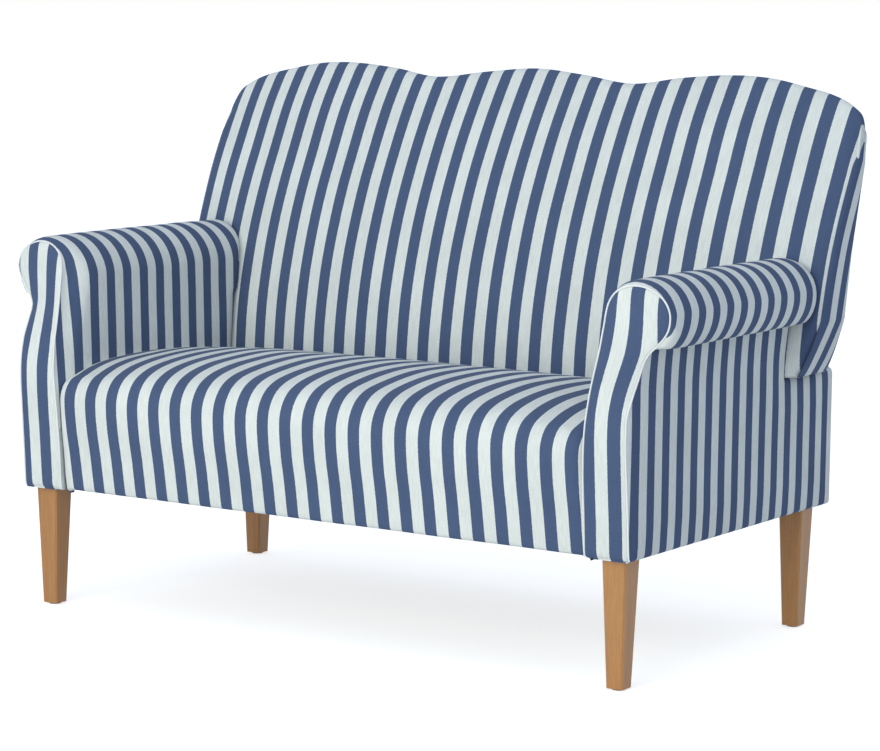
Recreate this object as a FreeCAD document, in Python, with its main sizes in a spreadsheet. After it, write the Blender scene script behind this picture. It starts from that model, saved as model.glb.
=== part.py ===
import FreeCAD, Part

import math
import os
import re
import Sketcher

# Two-seat kitchen sofa: striped tight upholstery over a beech frame, scroll arms, camel-shaped back and
# tapered legs. The origin is on the floor under the middle of the outer box: X to the viewer's right, Y towards
# the back, Z up, in millimetres. Depths are measured from the arm fronts, and heights named "up" from the
# underside of the frame.

os.makedirs("parts", exist_ok=True)
doc = FreeCAD.newDocument("kitchen_sofa")

SIZES = (
    # the whole
    ("frame_low", 238, "underside of the frame above the floor"),
    ("back_half", 728, "half width of the back"),
    ("depth_middle", "=(seat_nose_y + base_rear_y - back_rear_set + back_lean * back_lean_rise) / 2",
     "middle of the sofa's depth behind the arm fronts, where the origin lies"),
    # legs and their fixings
    ("leg_side_in", 42, "leg centre inside the arm's waist"),
    ("leg_front_in", 50, "front leg centre behind the arm fronts"),
    ("leg_rear_in", 52, "rear leg centre in front of the base's rear face"),
    ("leg_foot", 33, "leg square at the foot"),
    ("leg_head", 49, "leg square at the frame"),
    ("leg_chamfer", 3, "chamfer down the leg's four edges"),
    ("glide_radius", 11, "floor glide radius"),
    ("glide_thick", 3, "floor glide thickness"),
    ("plate_side", 40, "steel leg plate side"),
    ("plate_thick", 2, "steel leg plate thickness"),
    ("bolt_radius", 4, "hanger bolt radius"),
    ("bolt_clear", 0.3, "clearance round a hanger bolt"),
    ("bolt_in_leg", 42, "bolt depth in the leg"),
    ("bolt_end", 3, "bolt end above its nut"),
    ("nut_across", 13, "hanger bolt nut across flats"),
    ("nut_thick", 7, "hanger bolt nut thickness"),
    # base frame
    ("cover_lap", 10, "how far the covers hang below the frame"),
    ("rail_height", 95, "height of the seat rails"),
    ("rail_thick", 25, "thickness of front, spring and back rails"),
    ("side_rail_thick", 20, "thickness of the side rails"),
    ("base_rear_y", 750, "back face of the base"),
    ("base_cover", 12, "padded cover on the base's rear"),
    ("deck_up", 249, "top of the base behind the arms"),
    ("spring_rail_set", 66, "spring rail behind the front of the back"),
    ("block_width", 35, "corner block width along the front"),
    ("block_depth", 76, "corner block depth"),
    ("block_height", 50, "corner block height"),
    ("stretcher_height", 60, "centre stretcher height"),
    ("dust_thick", 1, "black cloth under the frame"),
    ("dust_inset", 4, "black cloth inside the frame's edge and off the legs"),
    # scroll arms
    ("back_past_arm", 59, "how far the back stands out beside the arm's waist"),
    ("arm_waist_x", "=back_half - back_past_arm", "outer edge of the arm front at its waist"),
    ("arm_wide", 87, "width of the arm front at its waist"),
    ("arm_inner_x", "=arm_waist_x - arm_wide", "inner face of the arm front from the middle"),
    ("roll_radius", 64, "radius of the scroll"),
    ("roll_up", 392, "height of the scroll's centre"),
    ("hollow_radius", 60, "hollow under the scroll"),
    ("facing_thick", 12, "padded arm facing thickness"),
    ("bend_up", 252, "height where the arm front starts to lean back"),
    ("arm_lean", 0.36, "lean of the arm front, back per up"),
    ("bend_radius", 200, "radius of that bend"),
    ("fit", 0.3, "clearance round soft and curved pieces"),
    ("arm_pad", 14, "padding between facing outline and arm frame"),
    ("side_set", 2, "outside arm cover behind the facing's edge"),
    ("side_past", 8, "how far the outside arm cover runs past the arm's frame"),
    ("stump_thick", 22, "thickness of the arm end boards"),
    ("roll_proud", 3, "how far the padded roll stands out beside the facing"),
    ("roll_bulge", 12, "how far it stands out at the back"),
    ("roll_past", 70, "how far the roll's padding runs in beside the back"),
    ("arm_pad_gap", 12, "lower edge of the inside arm pad above the side rail"),
    ("arm_panel_thick", 3, "fibreboard in the arm"),
    ("arm_rail_width", 60, "arm rail width"),
    ("arm_rail_height", 40, "arm rail height"),
    ("tack_rail_height", 35, "height of the tacking rails"),
    ("welt_radius", 2.5, "piping round the arm facing"),
    ("welt_set", 1, "piping behind the facing's front surface"),
    # seat
    ("seat_hem_y", 22, "seat front at its lower edge"),
    ("seat_nose_y", -6, "foremost point of the seat"),
    ("seat_nose_up", 160, "height of the seat's foremost point"),
    ("seat_brow_y", 66, "where the rounded nose meets the seat top"),
    ("seat_brow_up", 236, "height of the seat there"),
    ("seat_crown_y", 229, "highest line of the seat"),
    ("seat_crown_up", 253, "height of the seat's crown"),
    ("seat_tuck_up", 207, "height of the seat where it meets the back"),
    ("seat_side_drop", 20, "how much lower the seat is beside the arms"),
    ("seat_end_round", 14, "rounding of the seat's front corners"),
    ("seat_fall_bulge", 4, "bulge of the seat's front below the nose"),
    ("seat_top_bulge", 2.5, "bulge of the seat between nose and crown"),
    ("seat_rear_bulge", 11, "bulge of the seat between crown and back"),
    ("seat_side_gap", 1, "gap between the seat's side and the arm pad"),
    ("seat_foam_side", 22, "seat foam inside the arm fronts' inner faces"),
    ("seat_foam_thick", 62.8, "seat foam thickness"),
    ("seat_foam_rear", 5, "seat foam in front of the spring rail"),
    ("hessian_thick", 1.5, "hessian over the springs"),
    # seat springs
    ("spring_count", 6, "zigzag springs across the seat"),
    ("spring_end_in", 132, "outermost spring inside the arm front"),
    ("spring_spacing", "=2 * (arm_inner_x - spring_end_in) / (spring_count - 1)", "distance between springs"),
    ("spring_wire", 3.8, "spring wire thickness"),
    ("spring_bends", 12, "half turns in each spring"),
    ("spring_half", 28, "half width of a spring"),
    ("spring_seat", 10, "spring end from the rail's inner edge"),
    ("clip_length", 18, "spring clip length along the seat's depth"),
    ("clip_width", 12, "spring clip width"),
    ("clip_sheet", 1.2, "spring clip sheet"),
    ("tie_radius", 1.5, "tie wire radius"),
    ("tie_front_y", 210, "front tie wire"),
    ("tie_rear_y", 430, "rear tie wire"),
    # back
    ("back_front_y", 534, "front of the back at the seat"),
    ("back_curve_up", 182, "height where the back starts to sweep back"),
    ("back_top_thick", 43.4, "thickness that the sweep leaves at the top of the middle hump"),
    ("back_crown", 35, "how much the front recedes from middle to side"),
    ("back_rear_set", 16, "back's rear face in front of the base's rear face"),
    ("back_lean_up", 362, "height where the rear face starts to lean"),
    ("back_lean", 0.165, "lean of the rear face, back per up"),
    ("back_lean_rise", "=back_hump_up - back_rear_round - back_lean_up", "height over which it leans"),
    ("back_mid_up", 784, "top of the middle hump"),
    ("back_valley_share", 0.309, "valley on the way from the middle to the side"),
    ("back_valley_up", 764, "top of the valleys"),
    ("back_hump_share", 0.5975, "side hump on the way from the middle to the side"),
    ("back_hump_up", 784, "top of the side humps"),
    ("back_shoulder_up", 675, "where the shoulder runs into the side"),
    ("back_low_up", 192, "lower edge of the back pad behind the seat"),
    ("back_tuck_in", 128, "strip at the side where the lower edge rises to the side face"),
    ("back_tuck_up", 352, "lower edge at the side face"),
    ("back_flap_in", 11, "flap behind the seat inside the arm fronts' inner faces"),
    ("back_edge_round", 22, "rounding of the front side edges"),
    ("back_corner_wide", 70, "width of the rounded rear side edges"),
    ("back_corner_share", 0.46, "share of the back's thickness that they round away"),
    ("back_top_round", 45, "rounding of the top towards the front"),
    ("back_rear_round", 18, "rounding of the top towards the rear"),
    ("back_open", 100, "how far the back's hollow runs out below and behind the pad"),
    ("back_pad_low", 55, "padding on the front at seat height"),
    ("back_pad_top", 26, "padding on the front at the top"),
    ("back_wrap_top", 18, "padding over the top"),
    ("back_wrap_side", 14, "padding at the sides"),
    ("panel_thick", 5, "outside back panel"),
    ("panel_rim", 1, "how far that panel lies inside the rim"),
    ("top_rail_height", 90, "camel-shaped top rail height"),
    ("top_rail_gap", 3, "top rail below the padding over it"),
    ("stile_gap", 1.5, "middle stile below the top rail"),
    ("post_width", 30, "back post width"),
    ("post_depth", 50, "back post depth at the base"),
    ("post_top_depth", 16, "back post depth at its top"),
    ("post_top_up", 680, "top of the back posts"),
    ("lower_rail_up", 262, "underside of the back's lower rail"),
    ("lower_rail_height", 55, "height of the back's lower rail"),
    ("strap_count", 6, "webbing straps in the back"),
    ("strap_end_in", 253, "outermost strap inside the back's side"),
    ("strap_spacing", "=2 * (back_half - strap_end_in) / (strap_count - 1)", "distance between straps"),
    ("strap_width", 50, "strap width"),
    ("strap_thick", 1.6, "strap thickness"),
    ("strap_lap", 45, "length of strap tacked to each rail"),
)

sheet = doc.addObject("Spreadsheet::Sheet", "Sizes")
for row, (alias, value, note) in enumerate(SIZES, 1):
    sheet.set(f"A{row}", note)
    sheet.setAlias(f"B{row}", alias)
for row, (alias, value, note) in enumerate(SIZES, 1):
    sheet.set(f"B{row}", str(value))
doc.recompute()

ALIASES = {alias for alias, value, note in SIZES}
FAR = 1500
SIDES = (("left", -1), ("right", 1))
# Stations along the roll, across each bay of the camel outline, round a shoulder and across the seat, and the
# chords in a spring's turn.
ROLL_STEPS, BAY_STEPS, SHOULDER_STEPS, SEAT_STEPS, TURN_STEPS = 4, 3, 6, 4, 3
# Middle of a quarter arc: its shares of the way in and of the way up.
EARLY, LATE = 1 - math.sqrt(0.5), math.sqrt(0.5)
parts = {}

# Planes that several pieces share, written once.
COVER_LOW = "(frame_low - cover_lap)"
RAIL_TOP = "(frame_low + rail_height)"
DECK_TOP = "(frame_low + deck_up)"
REAR_PLANE = "(base_rear_y - base_cover)"
RAIL_REAR = "(base_rear_y - base_cover - rail_thick)"
FRAME_X = "(arm_waist_x - arm_pad - fit)"
SIDE_INNER = f"({FRAME_X} - side_rail_thick)"
BLOCK_INNER = f"({SIDE_INNER} - block_width)"
STUMP_FRONT = "(facing_thick + fit)"
STUMP_REAR = "(facing_thick + fit + stump_thick)"
LEG_X = "(arm_waist_x - leg_side_in)"
BOLT_TOP = "(frame_low + block_height + nut_thick + bolt_end)"
ARM_REAR = "(back_front_y + back_crown * (arm_inner_x / back_half)^2)"
SIDE_REAR = f"({ARM_REAR} + side_past)"
ARM_INNER = "(arm_inner_x + arm_pad + fit)"
ARM_PAD_LOW = f"({RAIL_TOP} + arm_pad_gap)"
SPRING_RAIL_Y = "(back_front_y + spring_rail_set)"
SPRING_FRONT = f"({STUMP_REAR} + rail_thick - spring_seat)"
SPRING_REAR = f"({SPRING_RAIL_Y} + spring_seat)"
CLIP_TOP = f"({RAIL_TOP} + 2 * clip_sheet + spring_wire + 2 * fit)"
HESSIAN_TOP = f"({CLIP_TOP} + fit + hessian_thick)"
FOAM_TOP = f"({HESSIAN_TOP} + fit + seat_foam_thick)"
FOAM_REAR = f"({SPRING_RAIL_Y} - seat_foam_rear)"
BACK_REAR = "(base_rear_y - back_rear_set)"
SEAT_HALF = "(arm_inner_x - 2 * (welt_radius + fit))"
LEAN_Z = "(frame_low + back_lean_up)"
POST_TOP = "(frame_low + post_top_up)"

# The scroll: an upright inner edge, the roll over the top, and a hollow under it that runs down into the waist.
ROLL_X = "(arm_inner_x + roll_radius)"
ROLL_Z = "(frame_low + roll_up)"
BEND_Z = "(frame_low + bend_up)"
SCROLL_RUN = "(arm_waist_x + hollow_radius - arm_inner_x - roll_radius)"
SCROLL_REACH = "(roll_radius + hollow_radius)"
SCROLL_DROP = f"sqrt({SCROLL_REACH}^2 - {SCROLL_RUN}^2)"
WAIST_Z = f"({ROLL_Z} - {SCROLL_DROP})"


def ex(text):
    """Turn size names in a formula into references to the sheet."""
    return re.sub(r"[a-z_]+", lambda word: "Sizes." + word[0] if word[0] in ALIASES else word[0], str(text))


def val(text):
    """Present value of a formula."""
    return float(sheet.evalExpression(ex(text)))


def up(alias):
    """Height above the floor of a size measured from the frame's underside."""
    return val(f"frame_low + {alias}")


def keep(label, piece, y="0"):
    """Register a finished piece under its node name, moved from the arm fronts to the origin."""
    piece.Label = label
    piece.setExpression("Placement.Base.y", ex(f"{y} - depth_middle"))
    parts[label] = piece
    return piece


def group(label, members):
    """Several like solids in one node."""
    compound = doc.addObject("Part::Compound", label)
    compound.Links = members
    return keep(label, compound)


def form(label, shape):
    """Sub-part whose surface follows a formula in the sheet's sizes."""
    piece = doc.addObject("Part::Feature", label)
    piece.Shape = shape
    return keep(label, piece)


def span(side, low, high):
    """A pair of x formulas on one side of the sofa, in rising order."""
    return (low, high) if side > 0 else (f"-({high})", f"-({low})")


def about(centre, half):
    return (f"{centre} - {half}", f"{centre} + {half}")


def rectangle(u, v):
    """Loop round a rectangle given as (low, high) pairs of formulas."""
    return [(u[0], v[0]), (u[1], v[0]), (u[1], v[1]), (u[0], v[1])]


def ring(u, v, radius):
    """Loop round a circle, as four quarter arcs."""
    return [(f"{u} + {radius}", v, radius, 1), (u, f"{v} + {radius}", radius, 1),
            (f"{u} - ({radius})", v, radius, 1), (u, f"{v} - ({radius})", radius, 1)]


def mirrored(loop, side):
    """Loop drawn for the right side, turned over for the left."""
    turned = []
    for corner in loop:
        place = (f"{side} * ({corner[0]})", corner[1])
        turned.append(place + (corner[2], corner[3] * side) if len(corner) == 4 else place)
    return turned


def arc_between(start, end, radius, turn):
    """Circle arc of under half a turn, anticlockwise for turn +1, and whether it is flipped."""
    chord = end - start
    half = chord.Length / 2
    normal = FreeCAD.Vector(-chord.y, chord.x, 0).normalize()
    centre = (start + end) / 2 + normal * turn * math.sqrt(max(radius ** 2 - half ** 2, 0))
    first, last = (start, end) if turn > 0 else (end, start)
    angles = [math.atan2(spot.y - centre.y, spot.x - centre.x) for spot in (first, last)]
    circle = Part.Circle(centre, FreeCAD.Vector(0, 0, 1), radius)
    return Part.ArcOfCircle(circle, *angles), turn < 0


def trace(loop):
    """Lines and arcs of a loop; its corners are (u, v), or (u, v, radius, turn) where an arc leads to the next."""
    spots = [FreeCAD.Vector(val(corner[0]), val(corner[1]), 0) for corner in loop]
    traced = []
    for corner, start, end in zip(loop, spots, spots[1:] + spots[:1]):
        if len(corner) == 4:
            traced.append(arc_between(start, end, val(corner[2]), corner[3]))
        else:
            traced.append((Part.LineSegment(start, end), False))
    return traced


def draw(body, name, role, loops, offset="0"):
    """Sketch on one of the body's origin planes, every corner and radius bound to its formula."""
    sketch = body.newObject("Sketcher::SketchObject", name)
    plane = next(item for item in body.Origin.OriginFeatures if item.Role == role)
    sketch.AttachmentSupport = [(plane, "")]
    sketch.MapMode = "FlatFace"
    sketch.setExpression("AttachmentOffset.Base.z", ex(offset))

    def bind(kind, formula, *where):
        rule = sketch.addConstraint(Sketcher.Constraint(kind, *where, val(formula)))
        sketch.setExpression(f"Constraints[{rule}]", ex(formula))

    for loop in loops:
        first = sketch.GeometryCount
        traced = trace(loop)
        for edge, flipped in traced:
            sketch.addGeometry(edge, False)
        for index, corner in enumerate(loop):
            here = first + index
            before = (index - 1) % len(loop)
            begin = 2 if traced[index][1] else 1
            finish = 1 if traced[before][1] else 2
            sketch.addConstraint(Sketcher.Constraint("Coincident", first + before, finish, here, begin))
            bind("DistanceX", corner[0], -1, 1, here, begin)
            bind("DistanceY", corner[1], -1, 1, here, begin)
            if len(corner) == 4:
                bind("Radius", corner[2], here)
    return sketch


def new_body(label):
    return keep(label, doc.addObject("PartDesign::Body", label))


def pad(body, sketch, length, backwards=False):
    feature = body.newObject("PartDesign::Pad", sketch.Name + "_pad")
    feature.Profile = sketch
    feature.setExpression("Length", ex(length))
    feature.Reversed = backwards
    return feature


def pocket(body, sketch, length=None):
    """Cut a profile out of the body: to a depth, or right through both ways."""
    doc.recompute()
    before = body.Shape.Volume
    feature = body.newObject("PartDesign::Pocket", sketch.Name + "_pocket")
    feature.Profile = sketch
    if length:
        feature.setExpression("Length", ex(length))
    else:
        feature.Type = "ThroughAll"
        feature.SideType = "Symmetric"
    doc.recompute()
    if not 0 < body.Shape.Volume < before:
        raise RuntimeError(f"{sketch.Name} does not cut its body")
    return feature


def plank(name, x, y, z):
    """Plain rectangular stock between pairs of formulas."""
    box = doc.addObject("Part::Box", name)
    for prop, (low, high) in zip(("Length", "Width", "Height"), (x, y, z)):
        box.setExpression(prop, ex(f"({high}) - ({low})"))
    for axis, (low, high) in zip("xyz", (x, y, z)):
        box.setExpression(f"Placement.Base.{axis}", ex(low))
    return box


def stock(label, x, y, z):
    """A plank that is a piece by itself."""
    return keep(label, plank(label, x, y, z), y[0])


def rod(name, x, y, low, high, radius):
    """Upright round stock."""
    cylinder = doc.addObject("Part::Cylinder", name)
    cylinder.setExpression("Radius", ex(radius))
    cylinder.setExpression("Height", ex(f"({high}) - ({low})"))
    for axis, place in zip("xyz", (x, y, low)):
        cylinder.setExpression(f"Placement.Base.{axis}", ex(place))
    return cylinder


def bored(name, solid, x, y, z):
    """A solid with an upright clearance hole for a hanger bolt."""
    cut = doc.addObject("Part::Cut", name)
    cut.Base = solid
    cut.Tool = rod(name + "_hole", x, y, f"{z[0]} - fit", f"{z[1]} + fit", "bolt_radius + bolt_clear")
    return cut


def chamfered_square(x, y, side):
    """Loop round a square with its corners taken off."""
    half, short = f"{side} / 2", f"({side} / 2 - leg_chamfer)"
    corners = [(half, short), (short, half), (f"-{short}", half), (f"-{half}", short),
               (f"-{half}", f"-{short}"), (f"-{short}", f"-{half}"), (short, f"-{half}"), (half, f"-{short}")]
    return [(f"{x} + ({u})", f"{y} + ({v})") for u, v in corners]


def leg(label, x, y):
    """Square leg tapering evenly to the foot, its edges chamfered, with a blind hole for the hanger bolt."""
    body = new_body(label)
    head_z = "frame_low - plate_thick"
    foot = draw(body, f"{label}_foot", "XY_Plane", [chamfered_square(x, y, "leg_foot")], "glide_thick")
    head = draw(body, f"{label}_head", "XY_Plane", [chamfered_square(x, y, "leg_head")], head_z)
    taper = body.newObject("PartDesign::AdditiveLoft", label + "_taper")
    taper.Profile = foot
    taper.Sections = [head]
    hole = draw(body, label + "_bolt_hole", "XY_Plane", [ring(x, y, "(bolt_radius + bolt_clear)")], head_z)
    pocket(body, hole, "bolt_in_leg")


def leg_fixings():
    """Legs with their glides, plates, hanger bolts, nuts and the corner blocks that they are bolted to."""
    glides, plates, bolts, nuts, blocks = [], [], [], [], []
    plate_z = ("frame_low - plate_thick", "frame_low")
    block_z = ("frame_low", "(frame_low + block_height)")
    nut_z = (block_z[1], f"{block_z[1]} + nut_thick")
    front = ("leg_front_in", (STUMP_REAR, f"{STUMP_REAR} + block_depth"))
    rear = ("(base_rear_y - leg_rear_in)", (f"{RAIL_REAR} - block_depth", RAIL_REAR))
    for end, (y, block_y) in (("front", front), ("rear", rear)):
        for hand, side in SIDES:
            name = f"{end}_{hand}"
            x = f"{side} * {LEG_X}"
            leg(f"leg_{name}", x, y)
            glides.append(rod(f"glide_{name}", x, y, "0", "glide_thick", "glide_radius"))
            half = "plate_side / 2"
            plate = plank(f"plate_{name}_blank", about(x, half), about(y, half), plate_z)
            plates.append(bored(f"plate_{name}", plate, x, y, plate_z))
            bolt_low = f"{plate_z[0]} - bolt_in_leg + bolt_clear"
            bolts.append(rod(f"bolt_{name}", x, y, bolt_low, BOLT_TOP, "bolt_radius"))
            nut = doc.addObject("Part::Prism", f"nut_{name}_blank")
            nut.Polygon = 6
            nut.setExpression("Circumradius", ex("nut_across / sqrt(3)"))
            nut.setExpression("Height", ex("nut_thick"))
            for axis, place in zip("xyz", (x, y, nut_z[0])):
                nut.setExpression(f"Placement.Base.{axis}", ex(place))
            nuts.append(bored(f"nut_{name}", nut, x, y, nut_z))
            block = plank(f"block_{name}_blank", span(side, BLOCK_INNER, SIDE_INNER), block_y, block_z)
            blocks.append(bored(f"block_{name}", block, x, y, block_z))
    group("leg_glides", glides)
    group("leg_plates", plates)
    group("leg_bolts", bolts)
    group("leg_nuts", nuts)
    group("corner_blocks", blocks)


def base_frame():
    """Beech rails of the base, the boards on them and the padded cover behind."""
    rails = {
        "front_rail": (BLOCK_INNER, (STUMP_REAR, f"{STUMP_REAR} + rail_thick"), ("frame_low", RAIL_TOP)),
        "spring_rail": (SIDE_INNER, (SPRING_RAIL_Y, f"{SPRING_RAIL_Y} + rail_thick"), ("frame_low", RAIL_TOP)),
        "rear_rail": (SIDE_INNER, (RAIL_REAR, REAR_PLANE), ("frame_low", RAIL_TOP)),
        "rear_tack_rail": (SIDE_INNER, (RAIL_REAR, REAR_PLANE), (f"{DECK_TOP} - tack_rail_height", DECK_TOP)),
        "centre_stretcher": ("(rail_thick / 2)", (f"{STUMP_REAR} + rail_thick", SPRING_RAIL_Y),
                             ("frame_low", "frame_low + stretcher_height")),
        "base_rear_cover": (FRAME_X, (f"{REAR_PLANE} + fit", "base_rear_y"), (COVER_LOW, f"{DECK_TOP} - fit")),
    }
    for label, (half, y, z) in rails.items():
        stock(label, (f"-{half}", half), y, z)
    for hand, side in SIDES:
        x = span(side, SIDE_INNER, FRAME_X)
        stock(f"side_rail_{hand}", x, (STUMP_REAR, REAR_PLANE), ("frame_low", RAIL_TOP))
        stock(f"deck_board_{hand}", x, (ARM_REAR, REAR_PLANE), (RAIL_TOP, DECK_TOP))


def dust_cover():
    """Black cloth under the rails, notched round the four legs."""
    body = new_body("dust_cover")
    clear = "leg_head / 2 - dust_inset"
    edge, notch = f"({FRAME_X} - dust_inset)", f"({LEG_X} - {clear})"
    front, rear = f"({STUMP_REAR} + dust_inset)", f"({REAR_PLANE} - dust_inset)"
    front_in = "(leg_front_in + leg_head / 2 + dust_inset)"
    rear_in = f"(base_rear_y - leg_rear_in - {clear})"
    right = [(notch, front), (notch, front_in), (edge, front_in), (edge, rear_in), (notch, rear_in), (notch, rear)]
    loop = right + [(f"-{x}", y) for x, y in reversed(right)]
    pad(body, draw(body, "dust_cover_outline", "XY_Plane", [loop], "frame_low - dust_thick"), "dust_thick")


def crease(inset):
    """Point under the roll where it turns into the hollow, that far inside the facing's outline."""
    radius = f"(roll_radius - ({inset}))"
    return (f"{ROLL_X} + {radius} * {SCROLL_RUN} / {SCROLL_REACH}",
            f"{ROLL_Z} - {radius} * {SCROLL_DROP} / {SCROLL_REACH}")


def scroll_loop(inset, low):
    """Outline of the arm front, drawn in by an inset."""
    radius = f"(roll_radius - ({inset}))"
    inner, waist = f"arm_inner_x + {inset}", f"arm_waist_x - ({inset})"
    return [(inner, low), (inner, ROLL_Z, radius, -1), (ROLL_X, f"{ROLL_Z} + {radius}", radius, -1),
            crease(inset) + (f"hollow_radius + {inset}", 1), (waist, WAIST_Z), (waist, low)]


def front_loop(depth, far):
    """Side view of everything before (far < 0) or behind the arm's front surface, moved back by a depth."""
    tangent = "(bend_radius * tan(atan(arm_lean) / 2))"
    return [(far, -FAR), (depth, -FAR), (depth, f"{BEND_Z} - {tangent}", "bend_radius", -1),
            (f"{depth} + {tangent} * sin(atan(arm_lean))", f"{BEND_Z} + {tangent} * cos(atan(arm_lean))"),
            (f"{depth} + arm_lean * ({FAR} - {BEND_Z})", FAR), (far, FAR)]


def arm_member(label, side, loops, length, start="0", front=None, back=None):
    """Piece of the arm with one section along its length, trimmed to the leaning arm front where asked."""
    body = new_body(label)
    outline = draw(body, label + "_outline", "XZ_Plane", [mirrored(loop, side) for loop in loops], f"-({start})")
    pad(body, outline, length, backwards=True)
    if front:
        pocket(body, draw(body, label + "_front", "YZ_Plane", [front_loop(front, -FAR)]))
    if back:
        pocket(body, draw(body, label + "_rear", "YZ_Plane", [front_loop(back, FAR)]))
    return body


def arm_frame(hand, side):
    """Facing, end boards, rails, boards and roll foam of one arm."""
    inset = "(arm_pad + fit)"
    inner_end = f"{ARM_REAR} - stump_thick"
    lean_depth = f"(facing_thick + stump_thick + arm_lean * ({ROLL_Z} + roll_radius - {BEND_Z}) + fit)"
    arm_member(f"arm_facing_{hand}", side, [scroll_loop("0", COVER_LOW)], lean_depth, start="-fit", front="0",
               back="facing_thick")
    arm_member(f"arm_stump_{hand}", side, [scroll_loop(inset, "frame_low")], lean_depth, front=STUMP_FRONT,
               back=STUMP_REAR)
    arm_member(f"arm_rear_board_{hand}", side, [scroll_loop(inset, RAIL_TOP)], "stump_thick", start=inner_end)
    half_w, half_h = "arm_rail_width / 2", "arm_rail_height / 2"
    rail = rectangle(about(ROLL_X, half_w), about(ROLL_Z, half_h))
    slot = rectangle(about(ROLL_X, f"({half_w} + fit)"), about(ROLL_Z, f"({half_h} + fit)"))
    tack_x = (f"{ARM_INNER} + arm_panel_thick", f"{FRAME_X} - arm_panel_thick")
    members = {
        "arm_rail": [rail],
        "arm_roll_foam": [ring(ROLL_X, ROLL_Z, f"(roll_radius - {inset})"), slot],
        "arm_inner_board": [rectangle((ARM_INNER, tack_x[0]), (ARM_PAD_LOW, f"{ROLL_Z} - arm_rail_height"))],
        "arm_tack_rail": [rectangle(tack_x, (RAIL_TOP, f"{RAIL_TOP} + tack_rail_height"))],
        "arm_outer_board": [rectangle((tack_x[1], FRAME_X), (RAIL_TOP, WAIST_Z))],
    }
    for name, loops in members.items():
        arm_member(f"{name}_{hand}", side, loops, inner_end, front=STUMP_REAR)


def side_cover(hand, side):
    """Padded outside cover: flat below, flaring into the hollow under the roll, lower behind the arm."""
    outer, inner = "arm_waist_x - side_set", "arm_waist_x - arm_pad"
    loop = [(outer, COVER_LOW), (outer, WAIST_Z, "hollow_radius + side_set", -1), crease("side_set"),
            crease("arm_pad") + ("hollow_radius + arm_pad", 1), (inner, WAIST_Z), (inner, COVER_LOW)]
    body = arm_member(f"side_cover_{hand}", side, [loop], SIDE_REAR, front=STUMP_FRONT)
    behind = mirrored(rectangle((inner, outer), (COVER_LOW, DECK_TOP)), side)
    sketch = draw(body, f"side_cover_{hand}_behind", "XZ_Plane", [behind], f"fit - {SIDE_REAR}")
    pad(body, sketch, f"base_rear_y - {SIDE_REAR} + fit", backwards=True)


def turned_back(loop):
    """The same open outline walked the other way."""
    walked = []
    for corner, before in zip(loop[::-1], loop[-2::-1] + [()]):
        walked.append(corner[:2] + ((before[2], -before[3]) if len(before) == 4 else ()))
    return walked


def welt(hand, side):
    """Piping round the edge of the arm facing, just behind its front surface."""
    around = scroll_loop("-(2 * welt_radius + fit)", COVER_LOW) + turned_back(scroll_loop("-fit", COVER_LOW))
    length = f"facing_thick + arm_lean * ({ROLL_Z} + 2 * roll_radius - {BEND_Z})"
    arm_member(f"arm_welt_{hand}", side, [around], length, front="welt_set", back="welt_set + 2 * welt_radius")


def at(x, y, z):
    return FreeCAD.Vector(x, y, z)


def line(start, end):
    return Part.LineSegment(start, end).toShape()


def curve(start, middle, end):
    return Part.Arc(start, middle, end).toShape()


def midway(start, end, y=0.0, z=0.0):
    """Middle of a chord, moved by a bulge."""
    return (start + end) / 2 + FreeCAD.Vector(0, y, z)


def loft(sections):
    """Solid through closed sections, straight from each to the next."""
    return Part.makeLoft(sections, True, True)


def fanned(low, high, count):
    """Places from one to another, closer together towards the far one."""
    return [low + (high - low) * math.sin(math.pi / 2 * step / count) for step in range(1, count + 1)]


def arm_radii():
    """Depth and outer radius of the padded roll at each station, closer together near the front."""
    end = val(f"{SIDE_REAR} + roll_past")
    base, proud, bulge = val("roll_radius"), val("roll_proud"), val("roll_bulge")
    radii = [base + proud] + fanned(base + proud, base + bulge, ROLL_STEPS)
    return [(end * (step / ROLL_STEPS) ** 2, radius) for step, radius in enumerate(radii)]


def arm_band(side):
    """Padding over the inside of the arm and round the roll, down to the crease under it."""
    roll_x, roll_z, low = val(ROLL_X), val(ROLL_Z), val(ARM_PAD_LOW)
    inner = val("roll_radius - arm_pad")
    tail = -math.degrees(math.atan2(val(SCROLL_DROP), val(SCROLL_RUN)))
    turn = (180 - tail) / 4
    sections = []
    for y, outer in arm_radii():
        def rim(radius, degrees):
            angle = math.radians(degrees)
            return at(side * (roll_x + radius * math.cos(angle)), y, roll_z + radius * math.sin(angle))

        def over(radius):
            spots = [rim(radius, 180 - turn * step) for step in range(5)]
            return [curve(*spots[:3]), curve(*spots[2:])]

        hem, hem_in = at(side * (roll_x - outer), y, low), at(side * (roll_x - inner), y, low)
        edges = [line(hem, rim(outer, 180))] + over(outer) + [line(rim(outer, tail), rim(inner, tail))]
        edges += over(inner)[::-1] + [line(rim(inner, 180), hem_in), line(hem_in, hem)]
        sections.append(Part.Wire(edges))
    return loft(sections)


def beside_seat(side):
    """Room taken by one arm beside the seat, with the seat's side gap."""
    gap, top = val("seat_side_gap"), val(ROLL_Z)
    sections = []
    for y, outer in arm_radii():
        near, far = side * (val(ROLL_X) - outer - gap), side * val("back_half")
        corners = [at(near, y, 0), at(near, y, top), at(far, y, top), at(far, y, 0)]
        sections.append(Part.makePolygon(corners + corners[:1]))
    return loft(sections)


def prism(loop):
    """Solid of a side-view loop, right across the sofa."""
    wire = Part.Wire([edge.toShape() for edge, flipped in trace(loop)])
    face = Part.Face(wire)
    sideways = FreeCAD.Rotation(at(0, 1, 0), at(0, 0, 1), at(1, 0, 0), "ZXY")
    face.Placement = FreeCAD.Placement(at(-FAR, 0, 0), sideways)
    return face.extrude(at(2 * FAR, 0, 0))


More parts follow.
